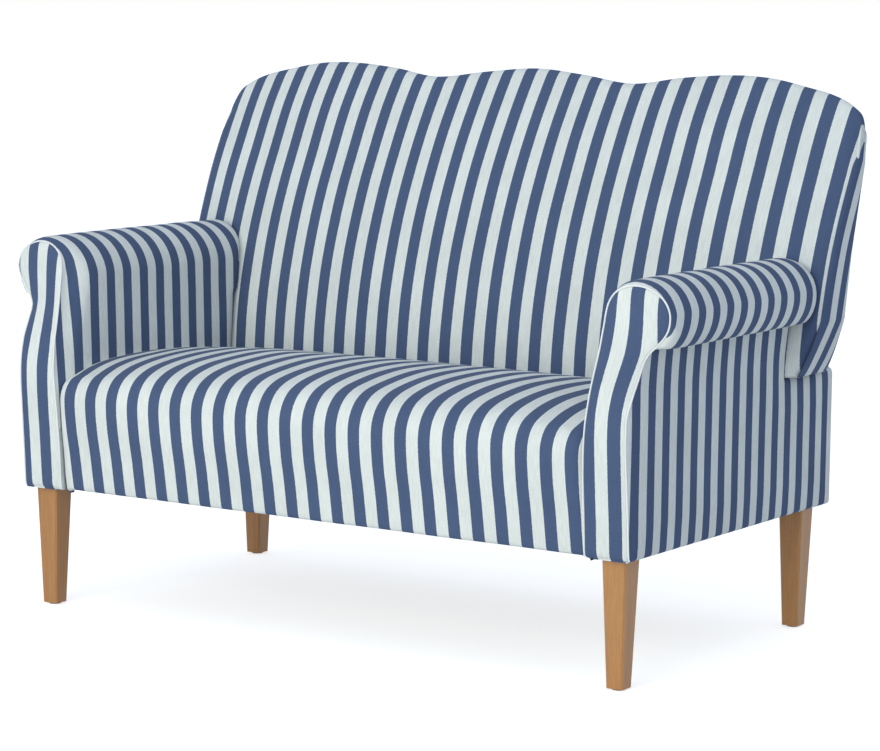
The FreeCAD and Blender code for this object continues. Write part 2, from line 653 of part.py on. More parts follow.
# The back: every section across it runs up the swept front, over the rounded top and down the leaning rear.
def edge_share(x, width):
    """Share of a rounded side edge's depth by which a face has drawn in, for an edge of that width."""
    past = max(abs(x) - (val("back_half") - width), 0) / width
    return 1 - math.sqrt(max(1 - past ** 2, 0))


def rear_plane(z):
    return val(BACK_REAR) + val("back_lean") * max(z - val(LEAN_Z), 0)


def front_sheet(x, z):
    """Swept front of the back before its edges are rounded."""
    top, foot, low = up("back_mid_up"), up("back_curve_up"), val("back_front_y")
    sweep = rear_plane(top) - val("back_top_thick") - low
    rise = max(z - foot, 0) / (top - foot)
    return low + sweep * rise ** 2 + val("back_crown") * (x / val("back_half")) ** 2


def back_front(x, z):
    radius = val("back_edge_round")
    return front_sheet(x, z) + radius * edge_share(x, radius)


def back_rear(x, z):
    thick = rear_plane(z) - front_sheet(x, z)
    return rear_plane(z) - thick * val("back_corner_share") * edge_share(x, val("back_corner_wide"))


def smooth(low, high, share):
    """Smooth step between two heights."""
    return low + (high - low) * (1 - math.cos(math.pi * share)) / 2


def bays():
    """Places of valley, side hump and side."""
    half = val("back_half")
    return half * val("back_valley_share"), half * val("back_hump_share"), half


def back_top(x):
    """Camel outline: middle hump, valley, side hump, then the rounded shoulder."""
    x = abs(x)
    valley, hump, half = bays()
    if x <= valley:
        return smooth(up("back_mid_up"), up("back_valley_up"), x / valley)
    if x <= hump:
        return smooth(up("back_valley_up"), up("back_hump_up"), (x - valley) / (hump - valley))
    fall = min((x - hump) / (half - hump), 1)
    drop = val("back_hump_up - back_shoulder_up")
    return up("back_shoulder_up") + drop * math.sqrt(1 - fall ** 2)


def tuck(x):
    """Share of the way out from where the lower edge starts to rise to the side face."""
    return max(abs(x) - val("back_half - back_tuck_in"), 0) / val("back_tuck_in")


def back_low(x):
    return up("back_low_up") + val("back_tuck_up - back_low_up") * tuck(x) ** 3


def back_stations(reach=None):
    """Stations across the back, closer together round the shoulders."""
    valley, hump, half = bays()
    steps = [step / BAY_STEPS for step in range(1, BAY_STEPS + 1)]
    right = [valley * share for share in steps] + [valley + (hump - valley) * share for share in steps]
    right += fanned(hump, half, SHOULDER_STEPS)
    if reach:
        right = [x for x in right if x < reach - val("back_edge_round")] + [reach]
    return [-x for x in reversed(right)] + [0.0] + right


def outer_section(x, grow=0.0):
    """Outside of the back pad; grown at the front and below for the pieces that must keep clear of it."""
    top, low = back_top(x), back_low(x) - grow

    def front(z):
        return at(x, back_front(x, z) - grow, z)

    def rear(z):
        return at(x, back_rear(x, z), z)

    brow = top - val("back_top_round")
    ridge = rear(top) - at(0, val("back_rear_round"), 0)
    nape = rear(top - val("back_rear_round"))
    hem, brow_point, knee = front(low), front(brow), rear(val(LEAN_Z))
    rise = at(0, (ridge.y - brow_point.y) * EARLY, (top - brow) * LATE)
    fall = at(0, (nape.y - ridge.y) * LATE, (nape.z - ridge.z) * EARLY)
    return Part.Wire([curve(hem, front((low + brow) / 2), brow_point), curve(brow_point, brow_point + rise, ridge),
                      curve(ridge, ridge + fall, nape), line(nape, knee), line(knee, rear(low)),
                      line(rear(low), hem)])


def hollow_section(x):
    """Space inside the back pad, open behind and, between the arms, below."""
    scale = 1 - val("back_wrap_side") / val("back_half")
    top = back_top(x) - val("back_wrap_top")
    brow = back_top(x) - val("back_top_round")
    floor = min(2 * tuck(x), 1)
    low = back_low(x) - val("back_open") * (1 - floor) + val("back_wrap_side") * floor
    beyond = rear_plane(top) + val("back_open")

    def front(z, thick):
        return at(x * scale, back_front(x, z) + thick, z)

    hem = front(low, val("back_pad_low"))
    shoulder = front(brow, val("back_pad_top"))
    belly = front((low + brow) / 2, val("back_pad_low + back_pad_top") / 2)
    crest = at(x * scale, shoulder.y + (top - brow) * val("back_lean"), top)
    above, below = at(x * scale, beyond, top), at(x * scale, beyond, low)
    return Part.makePolygon([hem, belly, shoulder, crest, above, below, hem])


def slab_section(x, scale, low, top, depth, thick):
    """Section of a board that lies against the leaning rear, a depth in from it."""
    knee = val(LEAN_Z)
    heights = [low, knee if low < knee < top else (low + top) / 2, top]
    rear = [at(x * scale, back_rear(x * scale, z) - depth, z) for z in heights]
    corners = rear + [spot - at(0, thick, 0) for spot in reversed(rear)]
    return Part.makePolygon(corners + corners[:1])


def back_upholstery():
    """Soft pad with its camel top, and the panel that closes it behind."""
    flap, half = val("arm_inner_x - back_flap_in"), val("back_half")
    cushion = loft([outer_section(x) for x in back_stations()])
    cushion = cushion.cut(loft([hollow_section(x) for x in back_stations()]))
    for corner_x in (flap, -flap - half):
        cushion = cushion.cut(Part.makeBox(half, FAR, val(DECK_TOP), at(corner_x, 0, 0)))
    form("back_pad", cushion)
    scale = 1 - val("back_wrap_side + fit") / half
    low, gap = val(f"{DECK_TOP} + fit"), val("back_wrap_top + fit")
    panel = [slab_section(x, scale, max(low, back_low(x) + val("back_wrap_side + fit")), back_top(x) - gap,
                          val("panel_rim"), val("panel_thick")) for x in back_stations()]
    form("outside_back", loft(panel))


def back_timber():
    """Camel-shaped top rail, two posts, lower rail, middle stile and the webbing over them."""
    gap, height = val("back_wrap_top + top_rail_gap"), val("top_rail_height")
    depth = val("panel_rim + panel_thick")
    thick = val(f"{BACK_REAR} - {RAIL_REAR}") - depth
    scale = 1 - val("back_wrap_side + fit") / val("back_half")
    rail = [slab_section(x, scale, back_top(x) - gap - height, back_top(x) - gap, depth, thick)
            for x in back_stations(val(BLOCK_INNER) / scale)]
    form("back_top_rail", loft(rail))
    post_in = f"({BLOCK_INNER} - post_width)"
    top_y = f"({RAIL_REAR} + back_lean * ({POST_TOP} - {LEAN_Z}))"
    outline = [(f"{RAIL_REAR} - post_depth", "frame_low"), (RAIL_REAR, "frame_low"), (RAIL_REAR, LEAN_Z),
               (top_y, POST_TOP), (f"{top_y} - post_top_depth", POST_TOP), (f"{RAIL_REAR} - post_depth", DECK_TOP)]
    for hand, side in SIDES:
        body = new_body(f"back_post_{hand}")
        inner = span(side, post_in, BLOCK_INNER)[0]
        pad(body, draw(body, f"back_post_{hand}_outline", "YZ_Plane", [outline], inner), "post_width")
    rail_low = "(frame_low + lower_rail_up)"
    rail_high = f"({rail_low} + lower_rail_height)"
    rail_y = (f"({RAIL_REAR} - rail_thick)", RAIL_REAR)
    stock("back_lower_rail", (f"-{post_in}", post_in), rail_y, (rail_low, rail_high))
    stile_top = "(frame_low + back_mid_up - back_wrap_top - top_rail_gap - top_rail_height - stile_gap)"
    stile_y = f"({RAIL_REAR} + back_lean * ({stile_top} - {LEAN_Z}))"
    stile = new_body("back_stile")
    outline = [(rail_y[0], rail_high), (RAIL_REAR, rail_high), (RAIL_REAR, LEAN_Z), (stile_y, stile_top),
               (f"{stile_y} - rail_thick", stile_top)]
    pad(stile, draw(stile, "back_stile_outline", "YZ_Plane", [outline], "-rail_thick / 2"), "rail_thick")
    back_straps(val(rail_y[0]), val(rail_high))


def back_straps(front_y, rail_high):
    """Webbing from the front of the lower rail up to the front of the top rail."""
    lap, thick, wide = val("strap_lap"), val("strap_thick"), val("strap_width")
    count = int(val("strap_count"))
    lean_z, lean, plane = val(LEAN_Z), val("back_lean"), val(RAIL_REAR)
    fix_high = up("back_valley_up") - val("back_wrap_top + top_rail_gap")
    fix_low = fix_high - lap

    def on_top_rail(z):
        return plane + lean * (z - lean_z)

    rear = [(front_y, rail_high - lap), (front_y, rail_high), (on_top_rail(fix_low), fix_low),
            (on_top_rail(fix_high), fix_high)]
    front = [(y - thick, z) for y, z in reversed(rear)]
    straps = []
    for index in range(count):
        x = (index - (count - 1) / 2) * val("strap_spacing") - wide / 2
        corners = [at(x, y, z) for y, z in rear + front]
        straps.append(Part.Face(Part.makePolygon(corners + corners[:1])).extrude(at(wide, 0, 0)))
    form("back_straps", Part.makeCompound(straps))


def seat_section(x):
    """Side view of the tight seat: front fall, rounded nose, crowned top, and the ledge over the front rail."""
    half, radius = val(SEAT_HALF), val("seat_end_round")
    past = max(abs(x) - (half - radius), 0)
    inset = radius - math.sqrt(max(radius ** 2 - past ** 2, 0))
    drop = val("seat_side_drop") * (x / half) ** 4
    rail_face = val(f"{STUMP_REAR} - fit")
    ledge = val(f"{HESSIAN_TOP} + fit")
    under, rear = val(f"{FOAM_TOP} + fit"), val(FOAM_REAR)
    foam_front = val(f"{STUMP_REAR} + rail_thick")
    hem = at(x, val("seat_hem_y"), val(COVER_LOW))
    nose = at(x, val("seat_nose_y") + inset, up("seat_nose_up"))
    brow = at(x, val("seat_brow_y"), up("seat_brow_up") - drop)
    crown = at(x, val("seat_crown_y"), up("seat_crown_up") - drop)
    tucked = at(x, val("back_front_y"), up("seat_tuck_up") - drop)
    end = at(x, rear, tucked.z)
    round_nose = nose + at(0, EARLY * (brow.y - nose.y), LATE * (brow.z - nose.z))
    inside = [end, at(x, rear, under), at(x, foam_front, under), at(x, foam_front, ledge),
              at(x, rail_face, ledge), at(x, rail_face, hem.z), hem]
    edges = [curve(hem, midway(hem, nose, y=-val("seat_fall_bulge")), nose), curve(nose, round_nose, brow),
             curve(brow, midway(brow, crown, z=val("seat_top_bulge")), crown),
             curve(crown, midway(crown, tucked, z=val("seat_rear_bulge")), tucked), line(tucked, end)]
    edges += [line(start, stop) for start, stop in zip(inside, inside[1:])]
    return Part.Wire(edges)


def seat_upholstery(back_room):
    """Tight seat between the arms and under the back, on its foam and hessian."""
    half = val(SEAT_HALF)
    flat = half - val("seat_end_round")
    right = fanned(0, flat, SEAT_STEPS) + fanned(flat, half, SEAT_STEPS)
    stations = [-x for x in reversed(right)] + [0.0] + right
    cushion = loft([seat_section(x) for x in stations])
    for hand, side in SIDES:
        cushion = cushion.cut(beside_seat(side))
    form("seat_pad", cushion.cut(back_room))
    foam_half = "(arm_inner_x - seat_foam_side)"
    width = (f"-{foam_half}", foam_half)
    stock("seat_foam", width, (f"{STUMP_REAR} + rail_thick + fit", FOAM_REAR), (f"{HESSIAN_TOP} + fit", FOAM_TOP))
    stock("seat_hessian", width, (STUMP_REAR, f"{SPRING_RAIL_Y} + rail_thick"), (f"{CLIP_TOP} + fit", HESSIAN_TOP))


def spring_places():
    count = int(val("spring_count"))
    return [(index - (count - 1) / 2) * val("spring_spacing") for index in range(count)]


def seat_springs():
    """Flat zigzag springs: straight cross runs joined by bent half turns, each end lying in a clip on its rail."""
    wire, bends = val("spring_wire"), int(val("spring_bends"))
    start, end = val(SPRING_FRONT), val(SPRING_REAR)
    pitch = (end - start) / bends
    run = val("spring_half") - pitch / 2
    low = val(f"{RAIL_TOP} + clip_sheet + fit")

    def side_of_wire(offset):
        """Corners down one side of the wire; the turns swing out to either hand in turn."""
        corners, hand = [at(-run, start + offset, low)], 1
        for bend in range(bends):
            middle, radius = start + pitch * (bend + 0.5), pitch / 2 - hand * offset
            for step in range(TURN_STEPS + 1):
                turn = math.pi * (step / TURN_STEPS - 0.5)
                corners.append(at(hand * (run + radius * math.cos(turn)), middle + radius * math.sin(turn), low))
            hand = -hand
        return corners + [at(hand * run, end + hand * offset, low)]

    corners = side_of_wire(wire / 2) + side_of_wire(-wire / 2)[::-1]
    spring = Part.Face(Part.makePolygon(corners + corners[:1])).extrude(at(0, 0, wire))
    form("seat_springs", Part.makeCompound([spring.translated(at(x, 0, 0)) for x in spring_places()]))


def spring_clips():
    """Folded steel clips, each wrapped over the last cross run of a spring."""
    sheet_thick, wide = val("clip_sheet"), val("clip_width")
    low, top = val(RAIL_TOP), val(CLIP_TOP)
    gap = val("spring_wire / 2 + fit")
    clips = []
    for y, facing in ((val(SPRING_FRONT), 1), (val(SPRING_REAR), -1)):
        shut, tongue = y - facing * (gap + sheet_thick), y + facing * (gap + sheet_thick)
        foot = shut + facing * val("clip_length")
        outline = [(foot, low), (foot, low + sheet_thick), (shut + facing * sheet_thick, low + sheet_thick),
                   (shut + facing * sheet_thick, top - sheet_thick), (tongue, top - sheet_thick), (tongue, top),
                   (shut, top), (shut, low)]
        for centre in spring_places():
            corners = [at(centre - wide / 2, u, v) for u, v in outline]
            clips.append(Part.Face(Part.makePolygon(corners + corners[:1])).extrude(at(wide, 0, 0)))
    form("spring_clips", Part.makeCompound(clips))
    radius, reach = val("tie_radius"), val(f"{ARM_INNER} + arm_panel_thick")
    z = val(f"{RAIL_TOP} + clip_sheet") - radius
    ties = [Part.makeCylinder(radius, 2 * reach, at(-reach, val(y), z), at(1, 0, 0))
            for y in ("tie_front_y", "tie_rear_y")]
    form("spring_ties", Part.makeCompound(ties))


def arm_upholstery(back_room):
    before_boards = prism(front_loop(STUMP_FRONT, -FAR))
    for hand, side in SIDES:
        form(f"arm_pad_{hand}", arm_band(side).cut(before_boards).cut(back_room))


def check_and_write():
    """Refuse a failed object or an empty piece, then write one file per piece."""
    for item in doc.Objects:
        if {"Invalid", "Error"} & set(item.State):
            raise RuntimeError(f"{item.Name} failed: {item.State}")
    for label, piece in parts.items():
        shape = piece.Shape
        if shape.isNull() or not shape.isValid() or not shape.Solids or shape.Volume <= 0:
            raise RuntimeError(f"{label} has no sound solid")
    for label, piece in parts.items():
        print(label, len(piece.Shape.Solids), round(piece.Shape.Volume))
        piece.Shape.exportStep(f"parts/{label}.step")


def main():
    leg_fixings()
    base_frame()
    dust_cover()
    seat_springs()
    spring_clips()
    for hand, side in SIDES:
        arm_frame(hand, side)
        side_cover(hand, side)
        welt(hand, side)
    back_room = loft([outer_section(x, val("fit")) for x in back_stations()])
    arm_upholstery(back_room)
    seat_upholstery(back_room)
    back_upholstery()
    back_timber()
    doc.recompute()
    check_and_write()


main()
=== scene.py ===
"""Looks of a two-seat sofa with scroll arms, a camel back and striped cloth, built round its CAD frame.

Shapes are worked out in millimetres, up from the floor and back from the arm fronts, and turned into the
frame's metres as each mesh is made. Every cover carries a UV map named "cloth": U runs across the stripes,
V along them.
"""
import math

import bmesh
import bpy
import numpy as np
from bpy.props import FloatProperty, FloatVectorProperty, IntProperty, PointerProperty
from mathutils import Matrix, Vector
from mathutils.geometry import delaunay_2d_cdt

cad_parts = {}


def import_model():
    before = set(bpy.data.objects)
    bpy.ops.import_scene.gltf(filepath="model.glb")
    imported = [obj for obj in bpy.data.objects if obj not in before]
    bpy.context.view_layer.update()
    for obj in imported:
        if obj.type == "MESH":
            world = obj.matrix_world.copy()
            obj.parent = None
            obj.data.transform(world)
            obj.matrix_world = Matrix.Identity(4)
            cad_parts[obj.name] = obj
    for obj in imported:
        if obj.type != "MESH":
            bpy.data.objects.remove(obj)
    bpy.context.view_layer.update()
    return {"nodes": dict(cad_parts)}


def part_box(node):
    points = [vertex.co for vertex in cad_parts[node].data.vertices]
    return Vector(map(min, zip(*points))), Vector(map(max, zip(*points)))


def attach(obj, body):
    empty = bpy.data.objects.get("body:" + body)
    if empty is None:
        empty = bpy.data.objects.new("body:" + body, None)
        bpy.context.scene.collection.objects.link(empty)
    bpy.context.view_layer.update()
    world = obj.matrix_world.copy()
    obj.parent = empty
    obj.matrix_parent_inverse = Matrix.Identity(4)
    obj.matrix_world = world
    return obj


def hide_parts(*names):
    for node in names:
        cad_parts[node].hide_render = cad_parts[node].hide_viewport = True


bl_info = {
    "name": "Striped Scroll Arm Sofa",
    "version": (1, 0, 0),
    "blender": (4, 5, 0),
    "location": "View3D > Sidebar > Sofa",
    "description": "Covers, piping, stitching, wood and stage for a two-seat scroll arm sofa",
    "category": "Add Mesh",
}

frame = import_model()
NODES = frame["nodes"]
SIDES = {"left": -1, "right": 1}


def linear(code):
    """Linear colour of an sRGB hex value."""
    parts = [int(code[start:start + 2], 16) / 255 for start in (0, 2, 4)]
    return tuple(part / 12.92 if part <= 0.04045 else ((part + 0.055) / 1.055) ** 2.4 for part in parts)


class SofaCloth(bpy.types.PropertyGroup):
    """Striped canvas and its piping."""
    stripe: FloatProperty(name="Stripe", description="Width of one stripe", default=0.025, unit="LENGTH")
    thread: FloatProperty(name="Thread", description="Spacing of the threads as drawn", default=0.0016,
                          unit="LENGTH")
    blue: FloatVectorProperty(name="Blue", description="Dyed stripe", size=3, subtype="COLOR",
                              default=linear("4E5F80"))
    white: FloatVectorProperty(name="White", description="Undyed stripe", size=3, subtype="COLOR",
                               default=linear("E2E7E4"))
    piping: FloatVectorProperty(name="Piping", description="Cotton piping", size=3, subtype="COLOR",
                                default=linear("EEF1F0"))


class SofaShape(bpy.types.PropertyGroup):
    """Sizes of the upholstery in millimetres, matching the CAD solids that the covers stand for."""
    middle: FloatProperty(name="Middle", description="Depth from the arm fronts to the frame's origin",
                          default=397.33)
    low: FloatProperty(name="Hem", description="Height of the lower edge of the covers", default=228.6)
    deck: FloatProperty(name="Deck", description="Height of the base behind the arms", default=487.0)
    rear: FloatProperty(name="Base rear", description="Depth of the base", default=750.0)
    inner: FloatProperty(name="Arm inside", description="Half the room between the arm fronts", default=582.0)
    waist: FloatProperty(name="Arm waist", description="Outside face of the arm fronts", default=669.0)
    roll: FloatProperty(name="Roll", description="Radius of the scroll on the arm front", default=64.0)
    roll_z: FloatProperty(name="Roll height", description="Height of the middle of the scroll", default=630.0)
    hollow: FloatProperty(name="Hollow", description="Radius of the hollow under the scroll", default=60.0)
    bend_z: FloatProperty(name="Bend", description="Height where the arm fronts start to lean", default=490.0)
    lean: FloatProperty(name="Lean", description="Lean of the arm fronts", default=0.36)
    swell: FloatProperty(name="Roll swell", description="Fullness of the padded roll", default=11.5)
    lip: FloatProperty(name="Lip", description="Depth in which the arm covers round out from the piping",
                       default=26.0)
    half: FloatProperty(name="Half width", description="Half the width of the back", default=728.0)
    back_y: FloatProperty(name="Back foot", description="Depth of the front of the back at its foot",
                          default=534.0)
    back_rear_y: FloatProperty(name="Back rear", description="Depth of the rear of the back below its lean",
                               default=734.0)
    edge: FloatProperty(name="Back edge", description="Rounding before the sides of the back", default=22.0)
    corner: FloatProperty(name="Rear corner", description="Width of the rounding behind the back's sides",
                          default=90.0)
    pucker: FloatProperty(name="Pucker", description="Depth of the gathers at the piping", default=0.9)
    seed: IntProperty(name="Seed", description="Seed of the small unevenness in the covers", default=4)


class SofaStage(bpy.types.PropertyGroup):
    """Light and floor."""
    key: FloatProperty(name="Key", description="Large low lamp before the sofa", default=98.0, unit="POWER")
    top: FloatProperty(name="Top", description="Lamp above the sofa", default=7.0, unit="POWER")
    world: FloatProperty(name="Surroundings", description="Strength of the light from all round", default=0.6)
    floor: FloatVectorProperty(name="Floor", description="Pale floor", size=3, subtype="COLOR",
                               default=linear("EDEEEE"))


def cloth():
    """Settings of the cloth."""
    return bpy.context.scene.sofa_cloth


def shape():
    """Sizes of the upholstery."""
    return bpy.context.scene.sofa_shape


def metres(points):
    """Places in the frame for points in millimetres from the floor and the arm fronts."""
    return (np.asarray(points, float) - (0, shape().middle, 0)) / 1000


def eased(share):
    """Smooth rise from 0 to 1."""
    share = np.clip(share, 0, 1)
    return share * share * (3 - 2 * share)


def drawn_in(distance, radius):
    """How far a rounded edge falls back at a distance from it."""
    short = np.clip(radius - distance, 0, radius)
    return radius - np.sqrt(radius ** 2 - short ** 2)


def through(points, count):
    """Even points on a smooth curve through the given ones."""
    knots = np.asarray(points, float)
    ends = np.vstack([2 * knots[0] - knots[1], knots, 2 * knots[-1] - knots[-2]])
    share = np.linspace(0, 1, 24, endpoint=False)[:, None]
    runs = []
    for a, b, c, d in zip(ends, ends[1:], ends[2:], ends[3:]):
        runs.append(b + (c - a) * share / 2 + (2 * a - 5 * b + 4 * c - d) * share ** 2 / 2
                    + (3 * b - 3 * c + d - a) * share ** 3 / 2)
    return evenly(np.vstack(runs + [knots[-1:]]), count)


def travel(path):
    """Distance along a path at each of its points."""
    return np.concatenate([[0], np.cumsum(np.linalg.norm(np.diff(path, axis=0), axis=1))])


def evenly(path, count):
    """The path with its points spread evenly."""
    path = np.asarray(path, float)
    run = travel(path)
    marks = np.linspace(0, run[-1], count)
    return np.column_stack([np.interp(marks, run, path[:, axis]) for axis in range(path.shape[1])])


def arc(centre, radius, start, end, count):
    """Points on an arc between two angles in degrees."""
    angles = np.radians(np.linspace(start, end, count))
    return np.column_stack([centre[0] + radius * np.cos(angles), centre[1] + radius * np.sin(angles)])


def straight(start, end, count):
    """Points on a straight line, without its start."""
    return np.column_stack([np.linspace(a, b, count)[1:] for a, b in zip(start, end)])


def loop_through(corners, counts):
    """Closed outline of straight runs from corner to corner, each with its count of points."""
    corners = np.array(corners, float)
    return np.vstack([start + (end - start) * np.linspace(0, 1, count, endpoint=False)[:, None]
                      for start, end, count in zip(corners, np.roll(corners, -1, axis=0), counts)])


def unevenness(first, second, scale, seed):
    """Slow, soft waves over a surface, between -1 and 1."""
    chance = np.random.default_rng(100 + int(seed))
    total = np.zeros(np.broadcast(first, second).shape)
    for turn in chance.uniform(0, math.tau, (6, 2)):
        reach = scale * (0.7 + 0.6 * abs(math.sin(3 * turn[0])))
        total += np.sin((first * math.cos(turn[0]) + second * math.sin(turn[0])) / reach * math.tau + turn[1])
    return total / 6


def piece(name, points, faces, uv, material):
    """Object with its mesh in the frame's place, a cloth map and closed, outward faces."""
    mesh = bpy.data.meshes.new(name)
    corners = [tuple(map(int, face)) for face in faces]
    mesh.from_pydata([tuple(point) for point in metres(points)], [], corners)
    layer = mesh.uv_layers.new(name="cloth")
    used = np.empty(len(mesh.loops), dtype=int)
    mesh.loops.foreach_get("vertex_index", used)
    layer.data.foreach_set("uv", (np.asarray(uv, float)[used] / 1000).ravel())
    form = bmesh.new()
    form.from_mesh(mesh)
    bmesh.ops.remove_doubles(form, verts=form.verts, dist=1e-6)
    bmesh.ops.recalc_face_normals(form, faces=form.faces)
    form.to_mesh(mesh)
    form.free()
    mesh.polygons.foreach_set("use_smooth", [True] * len(mesh.polygons))
    mesh.materials.append(material)
    made = bpy.data.objects.new(name, mesh)
    bpy.context.scene.collection.objects.link(made)
    return made


def lofted(name, rings, uv, material):
    """Closed piece through rings of points, its two ends filled."""
    rings, uv = np.array(rings), np.array(uv)
    rows, across = rings.shape[:2]
    index = np.arange(rows * across).reshape(rows, across)
    beside = np.roll(index, -1, axis=1)
    faces = np.stack([index[:-1], index[1:], beside[1:], beside[:-1]], axis=-1).reshape(-1, 4).tolist()
    ends = [index[0].tolist(), index[-1].tolist()]
    return piece(name, rings.reshape(-1, 3), faces + ends, uv.reshape(-1, 2), material)


def edge_distance(points, outline):
    """Distance of each point from a closed outline."""
    start, end = outline, np.roll(outline, -1, axis=0)
    along = end - start
    length = np.maximum((along ** 2).sum(axis=1), 1e-9)
    nearest = np.full(len(points), 1e9)
    for first, run, size in zip(start, along, length):
        away = points - first
        share = np.clip((away @ run) / size, 0, 1)
        nearest = np.minimum(nearest, np.linalg.norm(away - share[:, None] * run, axis=1))
    return nearest


def within(points, outline):
    """Which points lie inside a closed outline."""
    inside = np.zeros(len(points), bool)
    x, y = points[:, 0], points[:, 1]
    for (x0, y0), (x1, y1) in zip(outline, np.roll(outline, -1, axis=0)):
        if y0 != y1:
            crossing = ((y0 > y) != (y1 > y)) & (x < (x1 - x0) * (y - y0) / (y1 - y0) + x0)
            inside ^= crossing
    return inside


def panel(name, outline, place, behind, uv, material, pitch):
    """Closed panel over an outline: both faces are placed by each point and its distance from the edge."""
    outline = np.asarray(outline, float)
    rims = []
    normal = np.roll(outline, -1, axis=0) - np.roll(outline, 1, axis=0)
    normal = np.column_stack([-normal[:, 1], normal[:, 0]]) / np.linalg.norm(normal, axis=1)[:, None]
    if not within(outline[:1] + normal[:1] * 0.5, outline)[0]:
        normal = -normal
    for inset in (1.0, 2.2, 4.0, 6.5, 10.0):
        rim = outline + normal * inset
        good = within(rim, outline) & (np.abs(edge_distance(rim, outline) - inset) < 0.15 * inset)
        rims.append(rim[good])
    low, high = outline.min(axis=0), outline.max(axis=0)
    grid = np.stack(np.meshgrid(np.arange(low[0], high[0], pitch), np.arange(low[1], high[1], pitch)), -1)
    grid = grid.reshape(-1, 2) + pitch / 2
    grid = grid[within(grid, outline)]
    grid = grid[edge_distance(grid, outline) > 10 + pitch / 2]
    every = np.vstack([outline] + rims + [grid])
    count = len(outline)
    edges = [(here, (here + 1) % count) for here in range(count)]
    flat, _, faces, *_ = delaunay_2d_cdt([Vector(point) for point in every], edges, [], 1, 1e-6)
    flat = np.array([tuple(point) for point in flat])
    distance = edge_distance(flat, outline)
    front, back = place(flat, distance), behind(flat, distance)
    shift = len(flat)
    sides = {}
    for face in faces:
        for here, there in zip(face, face[1:] + face[:1]):
            if (there, here) in sides:
                del sides[(there, here)]
            else:
                sides[(here, there)] = True
    closed = [list(face) for face in faces] + [[corner + shift for corner in face[::-1]] for face in faces]
    closed += [[there, here, here + shift, there + shift] for here, there in sides]
    return piece(name, np.vstack([front, back]), closed, np.vstack([uv(flat), uv(flat)]), material)


def node(tree, kind, settings=None, **links):
    """Adds a node, sets its properties and unlinked sockets, and links the sockets given an output."""
    made = tree.nodes.new(kind)
    for name, value in (settings or {}).items():
        setattr(made, name, value)
    for name, value in links.items():
        socket = made.inputs[int(name[1:])] if name[0] == "_" else made.inputs[name.replace("_", " ")]
        if isinstance(value, bpy.types.NodeSocket):
            tree.links.new(value, socket)
        else:
            socket.default_value = value
    return made


def new_material(name):
    """Empty material with its shader, ready for colour, roughness and bump."""
    made = bpy.data.materials.new(name)
    made.use_nodes = True
    made.node_tree.nodes.clear()
    tree = made.node_tree
    shader = node(tree, "ShaderNodeBsdfPrincipled")
    output = node(tree, "ShaderNodeOutputMaterial", Surface=shader.outputs[0])
    output.location = (300, 0)
    return made, tree, shader


def shade(tree, shader, settings):
    """Sets plain values and links on the shader by their socket names."""
    for name, value in settings.items():
        if isinstance(value, bpy.types.NodeSocket):
            tree.links.new(value, shader.inputs[name])
        else:
            shader.inputs[name].default_value = value


def maths(tree, operation, first, second=0.0, third=0.0):
    """Result of one calculation."""
    return node(tree, "ShaderNodeMath", {"operation": operation}, _0=first, _1=second, _2=third).outputs[0]


def ranged(tree, value, low, high, start=0.0, end=1.0):
    """Value moved from one range to another and kept inside it."""
    return node(tree, "ShaderNodeMapRange", Value=value, From_Min=low, From_Max=high, To_Min=start,
                To_Max=end).outputs[0]


def noise(tree, place, scale, detail, **settings):
    """Noise over coordinates."""
    return node(tree, "ShaderNodeTexNoise", Vector=place, Scale=scale, Detail=detail, **settings).outputs[0]


def stretched(tree, place, scale):
    """Coordinates drawn out by a scale for each axis."""
    return node(tree, "ShaderNodeMapping", Vector=place, Scale=scale).outputs[0]


def object_place(tree):
    """Coordinates of the object, in metres."""
    return node(tree, "ShaderNodeTexCoord").outputs["Object"]


def blended(tree, share, first, second, kind="MIX"):
    """Mix of two colours."""
    made = node(tree, "ShaderNodeMix", {"data_type": "RGBA", "blend_type": kind}, _0=share)
    for place, value in ((6, first), (7, second)):
        if isinstance(value, bpy.types.NodeSocket):
            tree.links.new(value, made.inputs[place])
        else:
            made.inputs[place].default_value = (*value[:3], 1)
    return made.outputs[2]


